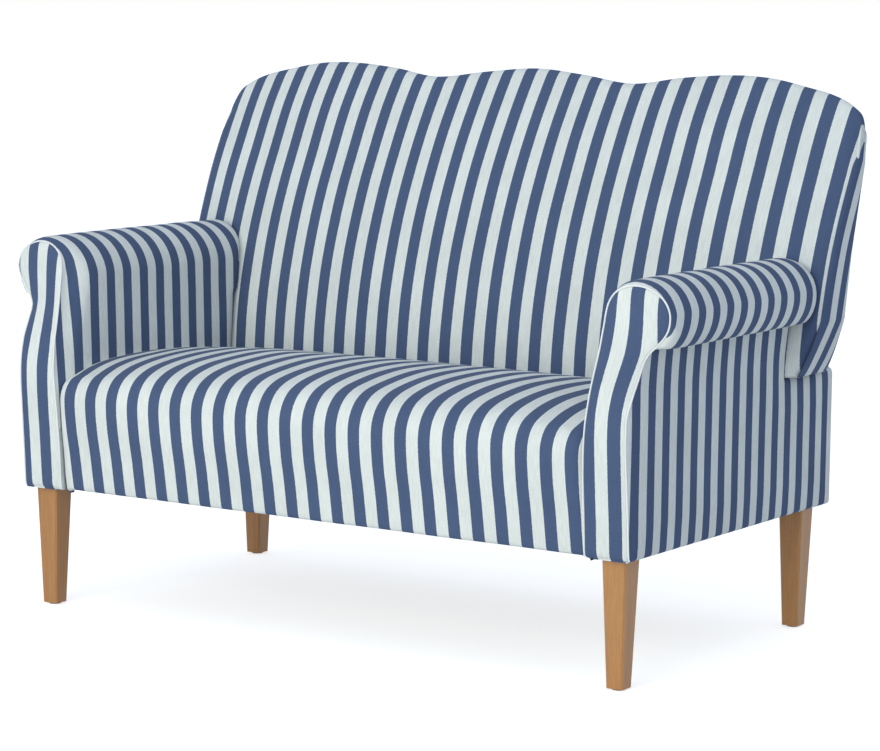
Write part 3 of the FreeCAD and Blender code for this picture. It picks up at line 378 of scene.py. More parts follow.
def striped_canvas(name):
    """Piece-dyed cotton canvas, plain weave: matt, slightly fuzzy, its stripe edges one yarn uneven."""
    made, tree, shader = new_material(name)
    uv = node(tree, "ShaderNodeUVMap", {"uv_map": "cloth"}).outputs[0]
    parts = node(tree, "ShaderNodeSeparateXYZ", _0=uv)
    across, along = parts.outputs[0], parts.outputs[1]
    stripe, pitch = cloth().stripe, cloth().thread
    # each weft yarn takes the dye a little further or less far
    wander = node(tree, "ShaderNodeTexNoise", {"noise_dimensions": "2D"}, Vector=uv, Scale=260.0, Detail=2.0)
    edge = maths(tree, "MULTIPLY_ADD", maths(tree, "SUBTRACT", wander.outputs[0], 0.5), 0.0011, across)
    turn = maths(tree, "DIVIDE", maths(tree, "SUBTRACT", edge, stripe / 2), 2 * stripe)
    wave = maths(tree, "ABSOLUTE", maths(tree, "SUBTRACT", maths(tree, "FRACT", turn), 0.5))
    dyed = node(tree, "ShaderNodeMapRange", {"interpolation_type": "SMOOTHSTEP"}, Value=wave, From_Min=0.242,
                From_Max=0.258).outputs[0]
    # threads are 0.6 mm apart in the real cloth and drawn wider here, so that the weave shows
    warp = maths(tree, "SINE", maths(tree, "MULTIPLY", across, math.tau / pitch))
    weft = maths(tree, "SINE", maths(tree, "MULTIPLY", along, math.tau / pitch))
    weave = maths(tree, "MULTIPLY_ADD", maths(tree, "MULTIPLY", warp, weft), 0.5, 0.5)
    yarn = node(tree, "ShaderNodeCombineXYZ", _0=maths(tree, "MULTIPLY", across, 520.0),
                _1=maths(tree, "MULTIPLY", along, 36.0))
    slub = node(tree, "ShaderNodeTexNoise", {"noise_dimensions": "2D"}, Vector=yarn.outputs[0], Scale=1.0,
                Detail=3.0).outputs[0]
    cloud = node(tree, "ShaderNodeTexNoise", {"noise_dimensions": "2D"}, Vector=uv, Scale=9.0, Detail=3.0)
    plain = blended(tree, dyed, tuple(cloth().white), tuple(cloth().blue))
    heather = ranged(tree, slub, 0.3, 0.7, 0.93, 1.04)
    faded = ranged(tree, cloud.outputs[0], 0.3, 0.7, 0.96, 1.03)
    tone = maths(tree, "MULTIPLY", heather, faded)
    toned = node(tree, "ShaderNodeCombineColor", _0=tone, _1=tone, _2=tone).outputs[0]
    colour = blended(tree, 1.0, plain, toned, "MULTIPLY")
    height = maths(tree, "MULTIPLY_ADD", weave, 0.6, maths(tree, "MULTIPLY", slub, 0.8))
    bump = node(tree, "ShaderNodeBump", Strength=0.35, Distance=0.0006, Height=height)
    shade(tree, shader, {"Base Color": colour, "Roughness": 0.86, "Normal": bump.outputs[0],
                         "Sheen Weight": 0.05, "Sheen Roughness": 0.5, "Specular IOR Level": 0.12})
    return made


def piping_cotton():
    """Bias-cut white cotton over a cord: a fine slanting weave and a soft shine on the crown."""
    made, tree, shader = new_material("piping_cotton")
    uv = node(tree, "ShaderNodeUVMap", {"uv_map": "cloth"}).outputs[0]
    parts = node(tree, "ShaderNodeSeparateXYZ", _0=uv)
    both = maths(tree, "ADD", parts.outputs[0], parts.outputs[1])
    # the threads of the real cotton are finer, drawn 1.4 mm apart
    slant = maths(tree, "SINE", maths(tree, "MULTIPLY", both, math.tau / 0.0014))
    weave = maths(tree, "MULTIPLY_ADD", slant, 0.5, 0.5)
    soiled = ranged(tree, noise(tree, object_place(tree), 40.0, 2.0), 0.3, 0.7, 0.0, 0.25)
    colour = blended(tree, soiled, tuple(cloth().piping), linear("DDE2E6"))
    bump = node(tree, "ShaderNodeBump", Strength=0.3, Distance=0.0003, Height=weave)
    shade(tree, shader, {"Base Color": colour, "Roughness": 0.6, "Normal": bump.outputs[0],
                         "Sheen Weight": 0.1})
    return made


def beech(name, pale, dark, pores, roughness, coat):
    """Straight-grained beech cut along the piece, with the short dark flecks of its rays."""
    made, tree, shader = new_material(name)
    place = object_place(tree)
    # growth rings about 3 mm apart, drawn out thirty times along the leg
    grain = noise(tree, stretched(tree, place, (330.0, 330.0, 9.0)), 1.0, 5.0, Roughness=0.6, Distortion=0.6)
    fleck = noise(tree, stretched(tree, place, (1100.0, 1100.0, 140.0)), 1.0, 1.0)
    band = noise(tree, stretched(tree, place, (26.0, 26.0, 1.4)), 1.0, 2.0)
    share = maths(tree, "MULTIPLY_ADD", grain, 0.7, maths(tree, "MULTIPLY", band, 0.55))
    wood = blended(tree, ranged(tree, share, 0.4, 0.85), linear(pale), linear(dark))
    flecks = maths(tree, "MULTIPLY", ranged(tree, fleck, 0.6, 0.72), pores)
    colour = blended(tree, flecks, wood, linear("6B4A26"))
    bump = node(tree, "ShaderNodeBump", Strength=0.2, Distance=0.0003, Height=grain)
    shade(tree, shader, {"Base Color": colour, "Roughness": roughness, "Normal": bump.outputs[0],
                         "Coat Weight": coat, "Coat Roughness": 0.35, "IOR": 1.5})
    return made


def plain_finish(name, pale, dark, scale, settings, grain=1.0, depth=0.0002):
    """Mottled finish of one colour: two tones mixed by fine noise, with a matching bump."""
    made, tree, shader = new_material(name)
    place = object_place(tree)
    fine, broad = noise(tree, place, scale, 4.0), noise(tree, place, scale / 14, 2.0)
    share = maths(tree, "MULTIPLY_ADD", fine, 0.6, maths(tree, "MULTIPLY", broad, 0.5))
    colour = blended(tree, ranged(tree, share, 0.35, 0.75), linear(pale), linear(dark))
    bump = node(tree, "ShaderNodeBump", Strength=0.4 * grain, Distance=depth, Height=fine)
    shade(tree, shader, {"Base Color": colour, "Normal": bump.outputs[0], **settings})
    return made


def woven(name, pale, dark, pitch, roughness):
    """Open plain weave on object coordinates, threads a pitch apart in x and y."""
    made, tree, shader = new_material(name)
    parts = node(tree, "ShaderNodeSeparateXYZ", _0=object_place(tree))
    rows = [maths(tree, "ABSOLUTE", maths(tree, "SINE", maths(tree, "MULTIPLY", axis, math.pi / pitch)))
            for axis in parts.outputs[:2]]
    height = maths(tree, "MAXIMUM", *rows)
    uneven = node(tree, "ShaderNodeTexNoise", Scale=60.0, Detail=3.0)
    worn = maths(tree, "MULTIPLY", uneven.outputs[0], 0.3)
    colour = blended(tree, maths(tree, "MULTIPLY_ADD", height, 0.8, worn), linear(dark), linear(pale))
    bump = node(tree, "ShaderNodeBump", Strength=0.6, Distance=0.0004, Height=height)
    shade(tree, shader, {"Base Color": colour, "Normal": bump.outputs[0], "Roughness": roughness})
    return made


def finish(made, slot, *stands_for, fill=None):
    """Ties a piece to the frame's root and hides the CAD nodes it stands for; its slot and padding are not
    used.
    """
    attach(made, "root")
    if stands_for:
        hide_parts(*stands_for)


def front_y(z):
    """Depth of the CAD arm front at a height: upright below, then bending into its lean."""
    tilt = math.atan(shape().lean)
    tangent = BEND_RADIUS * math.tan(tilt / 2)
    start = shape().bend_z - tangent
    end = shape().bend_z + tangent * math.cos(tilt)
    z = np.asarray(z, float)
    bent = BEND_RADIUS - np.sqrt(BEND_RADIUS ** 2 - np.clip(z - start, 0, end - start) ** 2)
    return bent + shape().lean * np.maximum(z - end, 0)


# Radius of the bend in the CAD arm front.
BEND_RADIUS = 200.0
# Side view of the padded arm front: height, depth of its middle, and its turn to the inside over its width.
FACE = ((228, 7, 0), (250, 6, 0), (300, 3, 0), (350, -1, 0), (400, -5, 0), (430, -7, 0), (460, -6.8, 0),
        (480, -4.5, 0), (500, 0.5, 0.04), (520, 6.8, 0.09), (550, 19, 0.18), (580, 30, 0.26),
        (610, 34.5, 0.22), (640, 37.5, 0.13), (670, 40, 0.09), (705, 42.5, 0.06))
# Middle of the arm front, about which it turns.
FACE_MIDDLE = 630
# Line of the piping round the arm front: half width and height, from the inner foot over the scroll.
LOOP = ((577.5, 228), (577.5, 330), (579.5, 400), (582.5, 450), (586, 500), (589, 545), (592.5, 585),
        (595, 620), (597, 650), (602, 669), (612, 683), (628, 692.5), (647, 696), (667, 694), (688, 685.5),
        (704, 671.5), (712, 655), (713, 640), (709, 624), (700, 608.5), (689, 596), (679, 585), (673, 575),
        (670.5, 562), (669.8, 545), (668.5, 525), (666, 500), (663.5, 478), (663, 450), (663, 400),
        (664, 320), (664.5, 228))
# Point of that line where the roll ends in the crease under it.
NOTCH = (681, 587.5)


def arm_face(x, z):
    """Depth of the padded front of an arm: bowed below, leaning back over the bend, upright in the scroll."""
    line = through(FACE, 300)
    z = np.asarray(z, float)
    turn = np.interp(z, line[:, 0], line[:, 2])
    return np.interp(z, line[:, 0], line[:, 1]) + turn * (np.abs(x) - FACE_MIDDLE)


def scroll():
    """Middle of the roll, middle of the hollow, and the angle of the crease between them."""
    sizes = shape()
    roll = (sizes.inner + sizes.roll, sizes.roll_z)
    run = sizes.waist + sizes.hollow - roll[0]
    drop = math.sqrt((sizes.roll + sizes.hollow) ** 2 - run ** 2)
    return roll, (roll[0] + run, roll[1] - drop), math.degrees(math.atan2(-drop, run))


def scroll_outline(grow=0.0, count=260):
    """Open outline of the arm front from its inner foot, over the scroll and down the outside."""
    line = through(LOOP, count)
    along = np.gradient(line, axis=0)
    normal = np.column_stack([-along[:, 1], along[:, 0]]) / np.linalg.norm(along, axis=1)[:, None]
    line = line + grow * normal
    line[:, 1] = np.maximum(line[:, 1], shape().low)
    return line


def covered_edge():
    """Fine outline just outside the piping, where the covers start, and the index of its notch."""
    line = scroll_outline(0.6, 900)
    return line, int(np.argmin(np.hypot(*(line - NOTCH).T)))


# Camel outline of the back: distance from the middle and height of its crest.
CREST = ((0, 1024.3), (110, 1015.3), (225, 1002.1), (330, 1016.1), (435, 1024.1), (520, 1020.5),
         (600, 1005.5), (650, 993.6), (690, 976.0), (715, 950.1), (728, 878.5))
# Front of the back: height where its sweep starts, how far up and back the sweep goes, how far the sides are
# set back, and how much of that is lost towards the crest.
SWEEP_START, SWEEP_UP, SWEEP_BACK, SET_BACK, UPRIGHT = 420, 602, 226.2, 35, 34
# Rear of the back: height where its lean starts, and the lean.
REAR_START, REAR_LEAN = 600, 0.165
# Foot of the back: its height, half its width, and the height in which it reaches the full width.
PAD_LOW, FOOT_HALF, FOOT_UP = 430, 600, 160
# Crest of the back: height of the brow before it and of the fold behind it.
BROW, FOLD = 20, 32
# How far outside the arm fronts' inner faces the pad of the back steps up to stand on the base.
BESIDE_ARM = 12
# Places of the stripes on the seat, the back and the rear, measured across them.
SEAT_PHASE, BACK_PHASE, REAR_PHASE = 554.9, 369, 367


def back_front(x, z):
    """Depth of the back's front surface."""
    share = np.minimum(np.abs(np.asarray(x, float)) / shape().half, 1) ** 2
    swept = SWEEP_BACK * (np.maximum(z - SWEEP_START, 0) / SWEEP_UP) ** 2
    upright = UPRIGHT * share * (1 - share) * eased((z - 830) / 130)
    return shape().back_y + swept + SET_BACK * share ** 2 - upright


def back_rear(z):
    """Depth of the back's rear surface."""
    return shape().back_rear_y + REAR_LEAN * np.maximum(z - REAR_START, 0)


def back_top(x):
    """Height of the crest: middle hump, valley, side hump and shoulder."""
    points = [(-across, up) for across, up in CREST[:0:-1]] + list(CREST)
    line = through(points, 900)
    return np.interp(np.asarray(x, float), line[:, 0], line[:, 1])


def foot_share(across):
    """Place between the half width of the back's foot, 0, and of its full width, 1."""
    return (across - FOOT_HALF) / (shape().half - FOOT_HALF)


def back_half(z):
    """Half width of the back at a height, drawn in at its foot and round its shoulder."""
    z = np.asarray(z, float)
    foot = FOOT_HALF + (shape().half - FOOT_HALF) * np.cbrt(np.clip((z - PAD_LOW) / FOOT_UP, 0, 1))
    line = through(CREST[4:], 200)[::-1]
    return np.minimum(foot, np.interp(z, line[:, 1], line[:, 0], left=shape().half))


def spread(x, z):
    """Widening of the back towards its shoulders."""
    return np.sign(x) * np.clip(foot_share(np.abs(x)), 0, 1) ** 2 * (3 * eased((z - 700) / 170) - 1)


def edge_in(reach, z):
    """How far the rounded front edge of the back falls back beside its sides."""
    return drawn_in(np.maximum(back_half(z) - reach, 0), shape().edge)


def corner_depth(z, half):
    """How far the rounding behind a side of the back reaches forward at a height."""
    thick = back_rear(z) - back_front(half, z)
    return np.clip(np.minimum(20 + 0.36 * thick, thick - 30), 8, None)


def corner_width(half):
    """Width of the rounding behind a side of the back, narrower where the back itself is."""
    return shape().corner * np.clip(foot_share(half), 0.3, 1)


def rear_in(x, z):
    """How far the back's rear surface falls back towards its sides."""
    half = back_half(z)
    wide = corner_width(half)
    share = np.clip((np.abs(x) - (half - wide)) / wide, 0, 1)
    return corner_depth(z, half) * (1 - np.sqrt(1 - share ** 2))


def seat_profile(share):
    """Side view of the seat at a share of its half width: hem, front fall, nose, crown and rear tuck."""
    low = shape().low
    drop = 20 * share ** 4
    return np.array([(44, low + 2), (32, low + 0.5), (25, low + 2.5), (21, low + 8), (10, 300), (0, 350),
                     (-5, 398), (-1, 428 - 0.3 * drop), (14, 452 - 0.6 * drop), (38, 468 - drop),
                     (76, 479 - drop), (140, 488 - drop), (229, 492 - drop), (330, 489 - drop),
                     (430, 476 - 0.7 * drop), (500, 458 - 0.6 * drop), (540, 447 - 0.5 * drop),
                     (566, 441 - 0.5 * drop)])


def make_seat():
    """Seat cover and its padding, with rounded ends beside the arms."""
    sizes = shape()
    half, radius, clear = sizes.inner - 5.6, 22.0, 0.4
    foam, rail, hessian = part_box("seat_foam"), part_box("front_rail"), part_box("seat_hessian")
    under, ledge = foam[1][2] * 1000 + clear, hessian[1][2] * 1000 + clear
    foam_front, rail_face = foam[0][1] * 1000 + sizes.middle, rail[0][1] * 1000 + sizes.middle - clear
    middle = np.linspace(-(half - radius), half - radius, 141)
    turn = np.radians(np.linspace(0, 90, 13))[1:]
    ends = half - radius + radius * np.sin(turn)
    stations = np.concatenate([-ends[::-1], middle, ends])
    run = np.concatenate([-(half - radius + radius * turn)[::-1], middle, half - radius + radius * turn])
    rings, uv = [], []
    for x, across in zip(stations, run):
        share = abs(x) / half
        outer = through(seat_profile(share), 120)
        past = max(abs(x) - (half - radius), 0)
        inset = radius - math.sqrt(max(radius ** 2 - past ** 2, 0))
        height = np.clip((outer[:, 1] - 260) / 120, 0, 1)
        fore = np.clip(1 - outer[:, 0] / 120, 0, 1)
        outer[:, 0] += inset * fore * (0.35 + 0.65 * height)
        outer[:, 1] -= 0.55 * inset * np.clip(outer[:, 0] / 60, 0, 1)
        soft = unevenness(np.full(len(outer), x), travel(outer), 170, sizes.seed)
        outer[:, 1] += 1.2 * soft * np.clip(outer[:, 0] / 90, 0, 1)
        outer[:, 0] += 0.8 * soft * np.clip((outer[:, 1] - 250) / 80, 0, 1) * fore
        end = outer[-1]
        lining = [(end[0], under), (foam_front, under), (foam_front, ledge), (rail_face, ledge),
                  (rail_face, outer[0, 1])]
        lining = evenly(lining, 40)
        loop = np.vstack([outer, lining])
        rings.append(np.column_stack([np.full(len(loop), x), loop]))
        length = travel(outer)
        along = np.concatenate([length, length[-1] + travel(lining)])
        uv.append(np.column_stack([np.full(len(loop), across), along]))
    made = lofted("seat_cover", rings, np.array(uv) + (SEAT_PHASE, 0), striped_canvas("striped_canvas"))
    finish(made, "cover", "seat_pad", fill=0.85)


class SOFA_OT_seat(bpy.types.Operator):
    """Tight seat cover with its rounded nose"""
    bl_idname = "sofa.seat"
    bl_label = "Seat cover"

    def execute(self, context):
        make_seat()
        return {"FINISHED"}


class SOFA_OT_arm_fronts(bpy.types.Operator):
    """Domed fronts of the two scroll arms"""
    bl_idname = "sofa.arm_fronts"
    bl_label = "Arm fronts"

    def execute(self, context):
        for hand, side in SIDES.items():
            make_arm_front(hand, side)
        return {"FINISHED"}


def make_arm_front(hand, side):
    """Padded front of one arm inside its piping."""
    outline = scroll_outline(-2.0)
    foot = outline[0, 1]
    outline = np.vstack([outline, straight((outline[-1, 0], foot), (outline[0, 0], foot), 18)[:-1]])
    phase = -580.0 if side > 0 else 619.0

    def place(flat, distance):
        x, z = flat.T
        curl = 0.7 * drawn_in(z - shape().low, 12.0)
        soft = 0.5 * unevenness(x, z, 90, shape().seed + side)
        y = arm_face(x, z) + 3.0 - 5.0 * (1 - np.exp(-distance / 8)) + curl
        return np.column_stack([side * x, y + soft * np.clip(distance / 12, 0, 1), z])

    def behind(flat, distance):
        x, z = flat.T
        # a deep flange beside the seat closes the room up to the arm's post
        flange = np.where(x < 594, 40.0, 11.8)
        return np.column_stack([side * x, np.maximum(front_y(z) + flange, arm_face(x, z) + 4), z])

    def uv(flat):
        x, z = flat.T
        outward = 13.0 * eased((z - 480) / 170)
        return np.column_stack([side * (x - outward) + phase, z])

    made = panel(f"arm_front_{hand}", outline, place, behind, uv, striped_canvas(f"front_canvas_{hand}"), 6.0)
    finish(made, "cover", f"arm_facing_{hand}", fill=0.9)


def new_tree(name, lengths, result):
    """Geometry Nodes tree with a path, named lengths and a finish for inputs, and its one output."""
    tree = bpy.data.node_groups.new(name, "GeometryNodeTree")
    tree.interface.new_socket("Path", in_out="INPUT", socket_type="NodeSocketGeometry")
    for label, default in lengths.items():
        socket = tree.interface.new_socket(label, in_out="INPUT", socket_type="NodeSocketFloat")
        socket.default_value = default
    tree.interface.new_socket("Finish", in_out="INPUT", socket_type="NodeSocketMaterial")
    tree.interface.new_socket(result, in_out="OUTPUT", socket_type="NodeSocketGeometry")
    given = node(tree, "NodeGroupInput")
    curve = node(tree, "GeometryNodeMeshToCurve", _0=given.outputs["Path"])
    return tree, given, curve.outputs[0]


def end_tree(tree, given, geometry, result):
    """Makes a tree's result real and gives it its finish."""
    real = node(tree, "GeometryNodeRealizeInstances", Geometry=geometry)
    coloured = node(tree, "GeometryNodeSetMaterial", Geometry=real.outputs[0],
                    Material=given.outputs["Finish"])
    node(tree, "NodeGroupOutput", **{result: coloured.outputs[0]})
    return tree


def kept_length(tree, curve, label):
    """Captures the distance along a curve and gives back the node."""
    kept = node(tree, "GeometryNodeCaptureAttribute", {"domain": "POINT"})
    kept.capture_items.new("FLOAT", label)
    tree.links.new(curve, kept.inputs[0])
    tree.links.new(node(tree, "GeometryNodeSplineParameter").outputs["Length"], kept.inputs[label])
    return kept


def cord_tree():
    """Geometry Nodes: a round cord along a line of edges, with its cloth map."""
    tree, given, curve = new_tree("piping_cord", {"Radius": 0.0026, "Spacing": 0.004}, "Cord")
    even = node(tree, "GeometryNodeResampleCurve", {"mode": "LENGTH"}, _0=curve,
                Length=given.outputs["Spacing"])
    along = kept_length(tree, even.outputs[0], "Run")
    ring = node(tree, "GeometryNodeCurvePrimitiveCircle", Radius=given.outputs["Radius"], Resolution=10)
    around = kept_length(tree, ring.outputs[0], "Turn")
    cord = node(tree, "GeometryNodeCurveToMesh", Curve=along.outputs[0], Profile_Curve=around.outputs[0],
                Fill_Caps=True)
    cloth_map = node(tree, "ShaderNodeCombineXYZ", _0=around.outputs["Turn"], _1=along.outputs["Run"])
    stored = node(tree, "GeometryNodeStoreNamedAttribute", {"data_type": "FLOAT2", "domain": "CORNER"},
                  Geometry=cord.outputs[0], Name="cloth", Value=cloth_map.outputs[0])
    smooth = node(tree, "GeometryNodeSetShadeSmooth", Geometry=stored.outputs[0])
    return end_tree(tree, given, smooth.outputs[0], "Cord")


def staple_tree():
    """Geometry Nodes: staples spaced along a line of edges, each laid along it."""
    lengths = {"Spacing": 0.045, "Width": 0.01, "Wire": 0.0008}
    tree, given, curve = new_tree("staples", lengths, "Staples")
    places = node(tree, "GeometryNodeCurveToPoints", {"mode": "LENGTH"}, _0=curve,
                  Length=given.outputs["Spacing"])
    size = node(tree, "ShaderNodeCombineXYZ", _0=given.outputs["Width"], _1=given.outputs["Wire"],
                _2=given.outputs["Wire"])
    wire = node(tree, "GeometryNodeMeshCube", Size=size.outputs[0])
    placed = node(tree, "GeometryNodeInstanceOnPoints", Points=places.outputs[0], Instance=wire.outputs[0],
                  Rotation=places.outputs["Rotation"])
    return end_tree(tree, given, placed.outputs[0], "Staples")


def path_object(name, runs):
    """Edges through points in millimetres, one run after another."""
    mesh = bpy.data.meshes.new(name)
    points, edges = [], []
    for run in runs:
        start = len(points)
        points += [tuple(point) for point in metres(run)]
        edges += [(here, here + 1) for here in range(start, len(points) - 1)]
    mesh.from_pydata(points, edges, [])
    made = bpy.data.objects.new(name, mesh)
    bpy.context.scene.collection.objects.link(made)
    return made


def through_nodes(carrier, tree, settings):
    """Runs a node tree on an object and leaves the result as its plain mesh."""
    modifier = carrier.modifiers.new("form", "NODES")
    modifier.node_group = tree
    for item in tree.interface.items_tree:
        if item.in_out == "INPUT" and item.name in settings:
            modifier[item.identifier] = settings[item.name]
    bpy.context.view_layer.update()
    ready = carrier.evaluated_get(bpy.context.evaluated_depsgraph_get())
    mesh = bpy.data.meshes.new_from_object(ready, preserve_all_data_layers=True,
                                           depsgraph=bpy.context.evaluated_depsgraph_get())
    carrier.modifiers.remove(modifier)
    name = carrier.name
    bpy.data.objects.remove(carrier)
    mesh.name = name
    made = bpy.data.objects.new(name, mesh)
    bpy.context.scene.collection.objects.link(made)
    return made


class SOFA_OT_piping(bpy.types.Operator):
    """White piping round the arm fronts"""
    bl_idname = "sofa.piping"
    bl_label = "Piping"

    def execute(self, context):
        tree, cotton = cord_tree(), piping_cotton()
        for hand, side in SIDES.items():
            line = scroll_outline(count=420)
            line[:, 1] = np.maximum(line[:, 1], shape().low + 3)
            tuck = 5 * np.exp(-(line[:, 1] - shape().low) / 5)
            run = np.column_stack([side * line[:, 0], arm_face(*line.T) + 3.6 + tuck, line[:, 1]])
            carrier = path_object(f"arm_piping_{hand}", [run])
            made = through_nodes(carrier, tree, {"Radius": 0.0017, "Spacing": 0.004, "Finish": cotton})
            finish(made, "piping", f"arm_welt_{hand}")
        return {"FINISHED"}


def roll_radius(depth):
    """Outer radius of the padded roll at a depth behind the arm front."""
    swell = np.interp(depth, (0, 60, 150, 400, 640), (0.85, 0.93, 1.0, 1.0, 0.85))
    return shape().roll + shape().swell * swell


# Rows of points in a section of the arm cover: up its inside, then round the roll.
FOOT_ROWS, ROUND_ROWS = 34, 84
ROWS = np.arange(FOOT_ROWS + ROUND_ROWS)


def make_arm_cover(hand, side):
    """Cover from the seat up the inside of the arm, over the roll and into the crease under it."""
    sizes = shape()
    roll, _, tail = scroll()
    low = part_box(f"arm_pad_{hand}")[0][2] * 1000
    swing = np.radians(np.linspace(180, tail, ROUND_ROWS))
    line, notch = covered_edge()
    foot_end = int(np.argmax(line[:notch, 1] > roll[1]))
    foot_start = int(np.argmax(line[:notch, 1] > low))
    edge = np.vstack([evenly(line[foot_start:foot_end], FOOT_ROWS + 1)[:-1],
                      evenly(line[foot_end - 1:notch], ROUND_ROWS)])
    rise = np.linspace(low, roll[1], FOOT_ROWS, endpoint=False)
    heart = np.vstack([np.column_stack([np.full(FOOT_ROWS, roll[0]), rise]), [roll] * ROUND_ROWS])

    def section(radius):
        """Inside of the arm and the roll over it, with a radius for each row."""
        arm = np.column_stack([roll[0] - radius[:FOOT_ROWS], rise])
        around = radius[FOOT_ROWS:, None] * np.column_stack([np.cos(swing), np.sin(swing)])
        return np.vstack([arm, around + roll])

    start, length = arm_face(*edge.T) + 4.6, travel(edge)
    turned = np.degrees(np.concatenate([np.full(FOOT_ROWS, math.pi), swing]))
    under = np.interp(turned, (-48, -40, -33, -25, -15), (-21.5, -11.5, -2.5, -0.5, 0))
    # the cloth is wound slightly askew: stripes lie further back on the crown than under the roll
    inside = 1 - np.clip((ROWS - FOOT_ROWS) / 42, 0, 1)
    crown = 28.0 if side > 0 else 1.0
    askew = np.interp(turned, (-48, -21, 17, 50, 90), (-12, -2, 16, 22, crown)) + (14.0 - crown) * inside
    askew += 10 * np.clip(1 - ROWS / FOOT_ROWS, 0, 1)
    lip = np.interp(ROWS, (0, FOOT_ROWS, 62), (50, 62, sizes.lip))
    sharp = np.clip((ROWS - 40) / 26, 0, 1)
    full = section(np.full(len(ROWS), sizes.roll + sizes.swell))
    end = back_front(*full.T) - 1 + 8 * (full[:, 1] > roll[1] - 60)
    shares = np.concatenate([np.linspace(0, 1, 15, endpoint=False) ** 2 * 0.052, np.linspace(0.052, 0.95, 80),
                             np.linspace(0.95, 1, 14)[1:]])
    rings, uv = [], []
    for share in shares:
        y = start + share * (end - start)
        ended = np.clip((40 - (end - y)) / 40, 0, 1)
        part = np.clip((y - start) / lip, 0, 1)
        gather = 0.5 + 0.5 * np.sin(length / 2.1 + 2 * np.sin(length / 17.0))
        radius = roll_radius(y) + under - np.where(ROWS < FOOT_ROWS, 14, 30) * (1 - np.sqrt(1 - ended ** 2))
        radius = radius + 0.7 * unevenness(y, length, 120, sizes.seed + 7 * side)
        radius = radius - sizes.pucker * gather * np.exp(-(y - start) / 13) * np.clip((y - start) / 3, 0, 1)
        round_out = sharp * np.sqrt(1 - (1 - part) ** 2) + (1 - sharp) * eased(part)
        outer = edge + round_out[:, None] * (section(radius) - edge)
        bare = edge + 0.9 * (heart - edge) / np.linalg.norm(heart - edge, axis=1)[:, None]
        lining = section(np.minimum(sizes.roll - 14, radius - 2))
        inner = bare + np.clip((y - start - 3) / 20, 0, 1)[:, None] * (lining - bare)
        rings.append(np.vstack([np.column_stack([side * outer[:, 0], y, outer[:, 1]]),
                                np.column_stack([side * inner[:, 0], y, inner[:, 1]])[::-1]]))
        across = y - askew - (6.0 + 10.0 * inside) * (1 - part) ** 2
        cloth_map = np.column_stack([across - 75.5, length])
        uv.append(np.vstack([cloth_map, cloth_map[::-1]]))
    made = lofted(f"arm_cover_{hand}", rings, uv, striped_canvas(f"arm_canvas_{hand}"))
    finish(made, "cover", f"arm_pad_{hand}", fill=0.8)


class SOFA_OT_arm_covers(bpy.types.Operator):
    """Covers on the inside of the arms and round their rolls"""
    bl_idname = "sofa.arm_covers"
    bl_label = "Arm covers"

    def execute(self, context):
        for hand, side in SIDES.items():
            make_arm_cover(hand, side)
        return {"FINISHED"}


class SOFA_OT_side_covers(bpy.types.Operator):
    """Outside covers of the arms and the base"""
    bl_idname = "sofa.side_covers"
    bl_label = "Side covers"

    def execute(self, context):
        for hand, side in SIDES.items():
            make_side_cover(hand, side)
        return {"FINISHED"}


def flared(z):
    """Half width of the outside covers, a little wider towards the crease."""
    return shape().waist - 2 + 8 * np.clip((z - 515) / 75, 0, 1) ** 1.6


def make_side_cover(hand, side):
    """Outside cover of one arm and of the base behind it, its front edge beside the piping."""
    sizes = shape()
    crease, arm_end = scroll()[1][1] + 52.0, 562.0
    deck, rear = sizes.deck + 2, sizes.rear + 11
    rise = np.linspace(sizes.low, crease, 60)
    line, notch = covered_edge()
    edge = line[notch:][::-1]
    brink = np.interp(rise, edge[:, 1], edge[:, 0])
    front = np.column_stack([arm_face(brink, rise) + 4.8, rise])
    outline = np.vstack([front,
                         straight((front[-1, 0], crease), (arm_end - 10, crease), 90),
                         arc((arm_end - 10, crease - 10), 10, 90, 0, 8)[1:],
                         straight((arm_end, crease - 10), (arm_end, deck + 7), 15),
                         straight((arm_end, deck), (rear, deck), 32),
                         straight((rear, deck), (rear, sizes.low), 40),
                         straight((rear, sizes.low), (front[0, 0], sizes.low), 110)[:-1]])

    def face(y, z, distance):
        """Half width of the cover's outside."""
        bulge = 3.0 * np.clip(distance / 60, 0, 1) ** 0.7
        soft = 0.9 * unevenness(y, z, 210, sizes.seed + 3 * side) * np.clip(distance / 25, 0, 1)
        behind_arm = y > arm_end - 2
        ledge_in = np.where(behind_arm, drawn_in(deck - z, 12.0), 0)
        gather = np.exp(-(crease - z) / 9) * (0.8 + 0.7 * np.sin(y / 7.9 + 1.3 * np.sin(y / 31)))
        top_in = np.where(behind_arm, 0, drawn_in(crease - z, 6.0) + np.where(z > 500, gather, 0))
        wide = flared(z) + bulge + soft - ledge_in - drawn_in(rear - y, 9.0) - top_in
        begin = np.interp(z, rise, brink)
        part = np.clip((y - arm_face(begin, z) - 4.8) / sizes.lip, 0, 1)
        return begin + np.sqrt(1 - (1 - part) ** 2) * (wide - begin) - drawn_in(z - sizes.low, 8.0)

    def place(flat, distance):
        y, z = flat.T
        return np.column_stack([side * face(y, z, distance), y, z])

    def behind(flat, distance):
        y, z = flat.T
        return np.column_stack([side * (flared(z) - 11.5), y, z])

    made = panel(f"arm_side_{hand}", outline, place, behind, lambda flat: flat - (9.7, 0),
                 striped_canvas(f"side_canvas_{hand}"), 7.0)
    finish(made, "cover", f"side_cover_{hand}", fill=0.95)


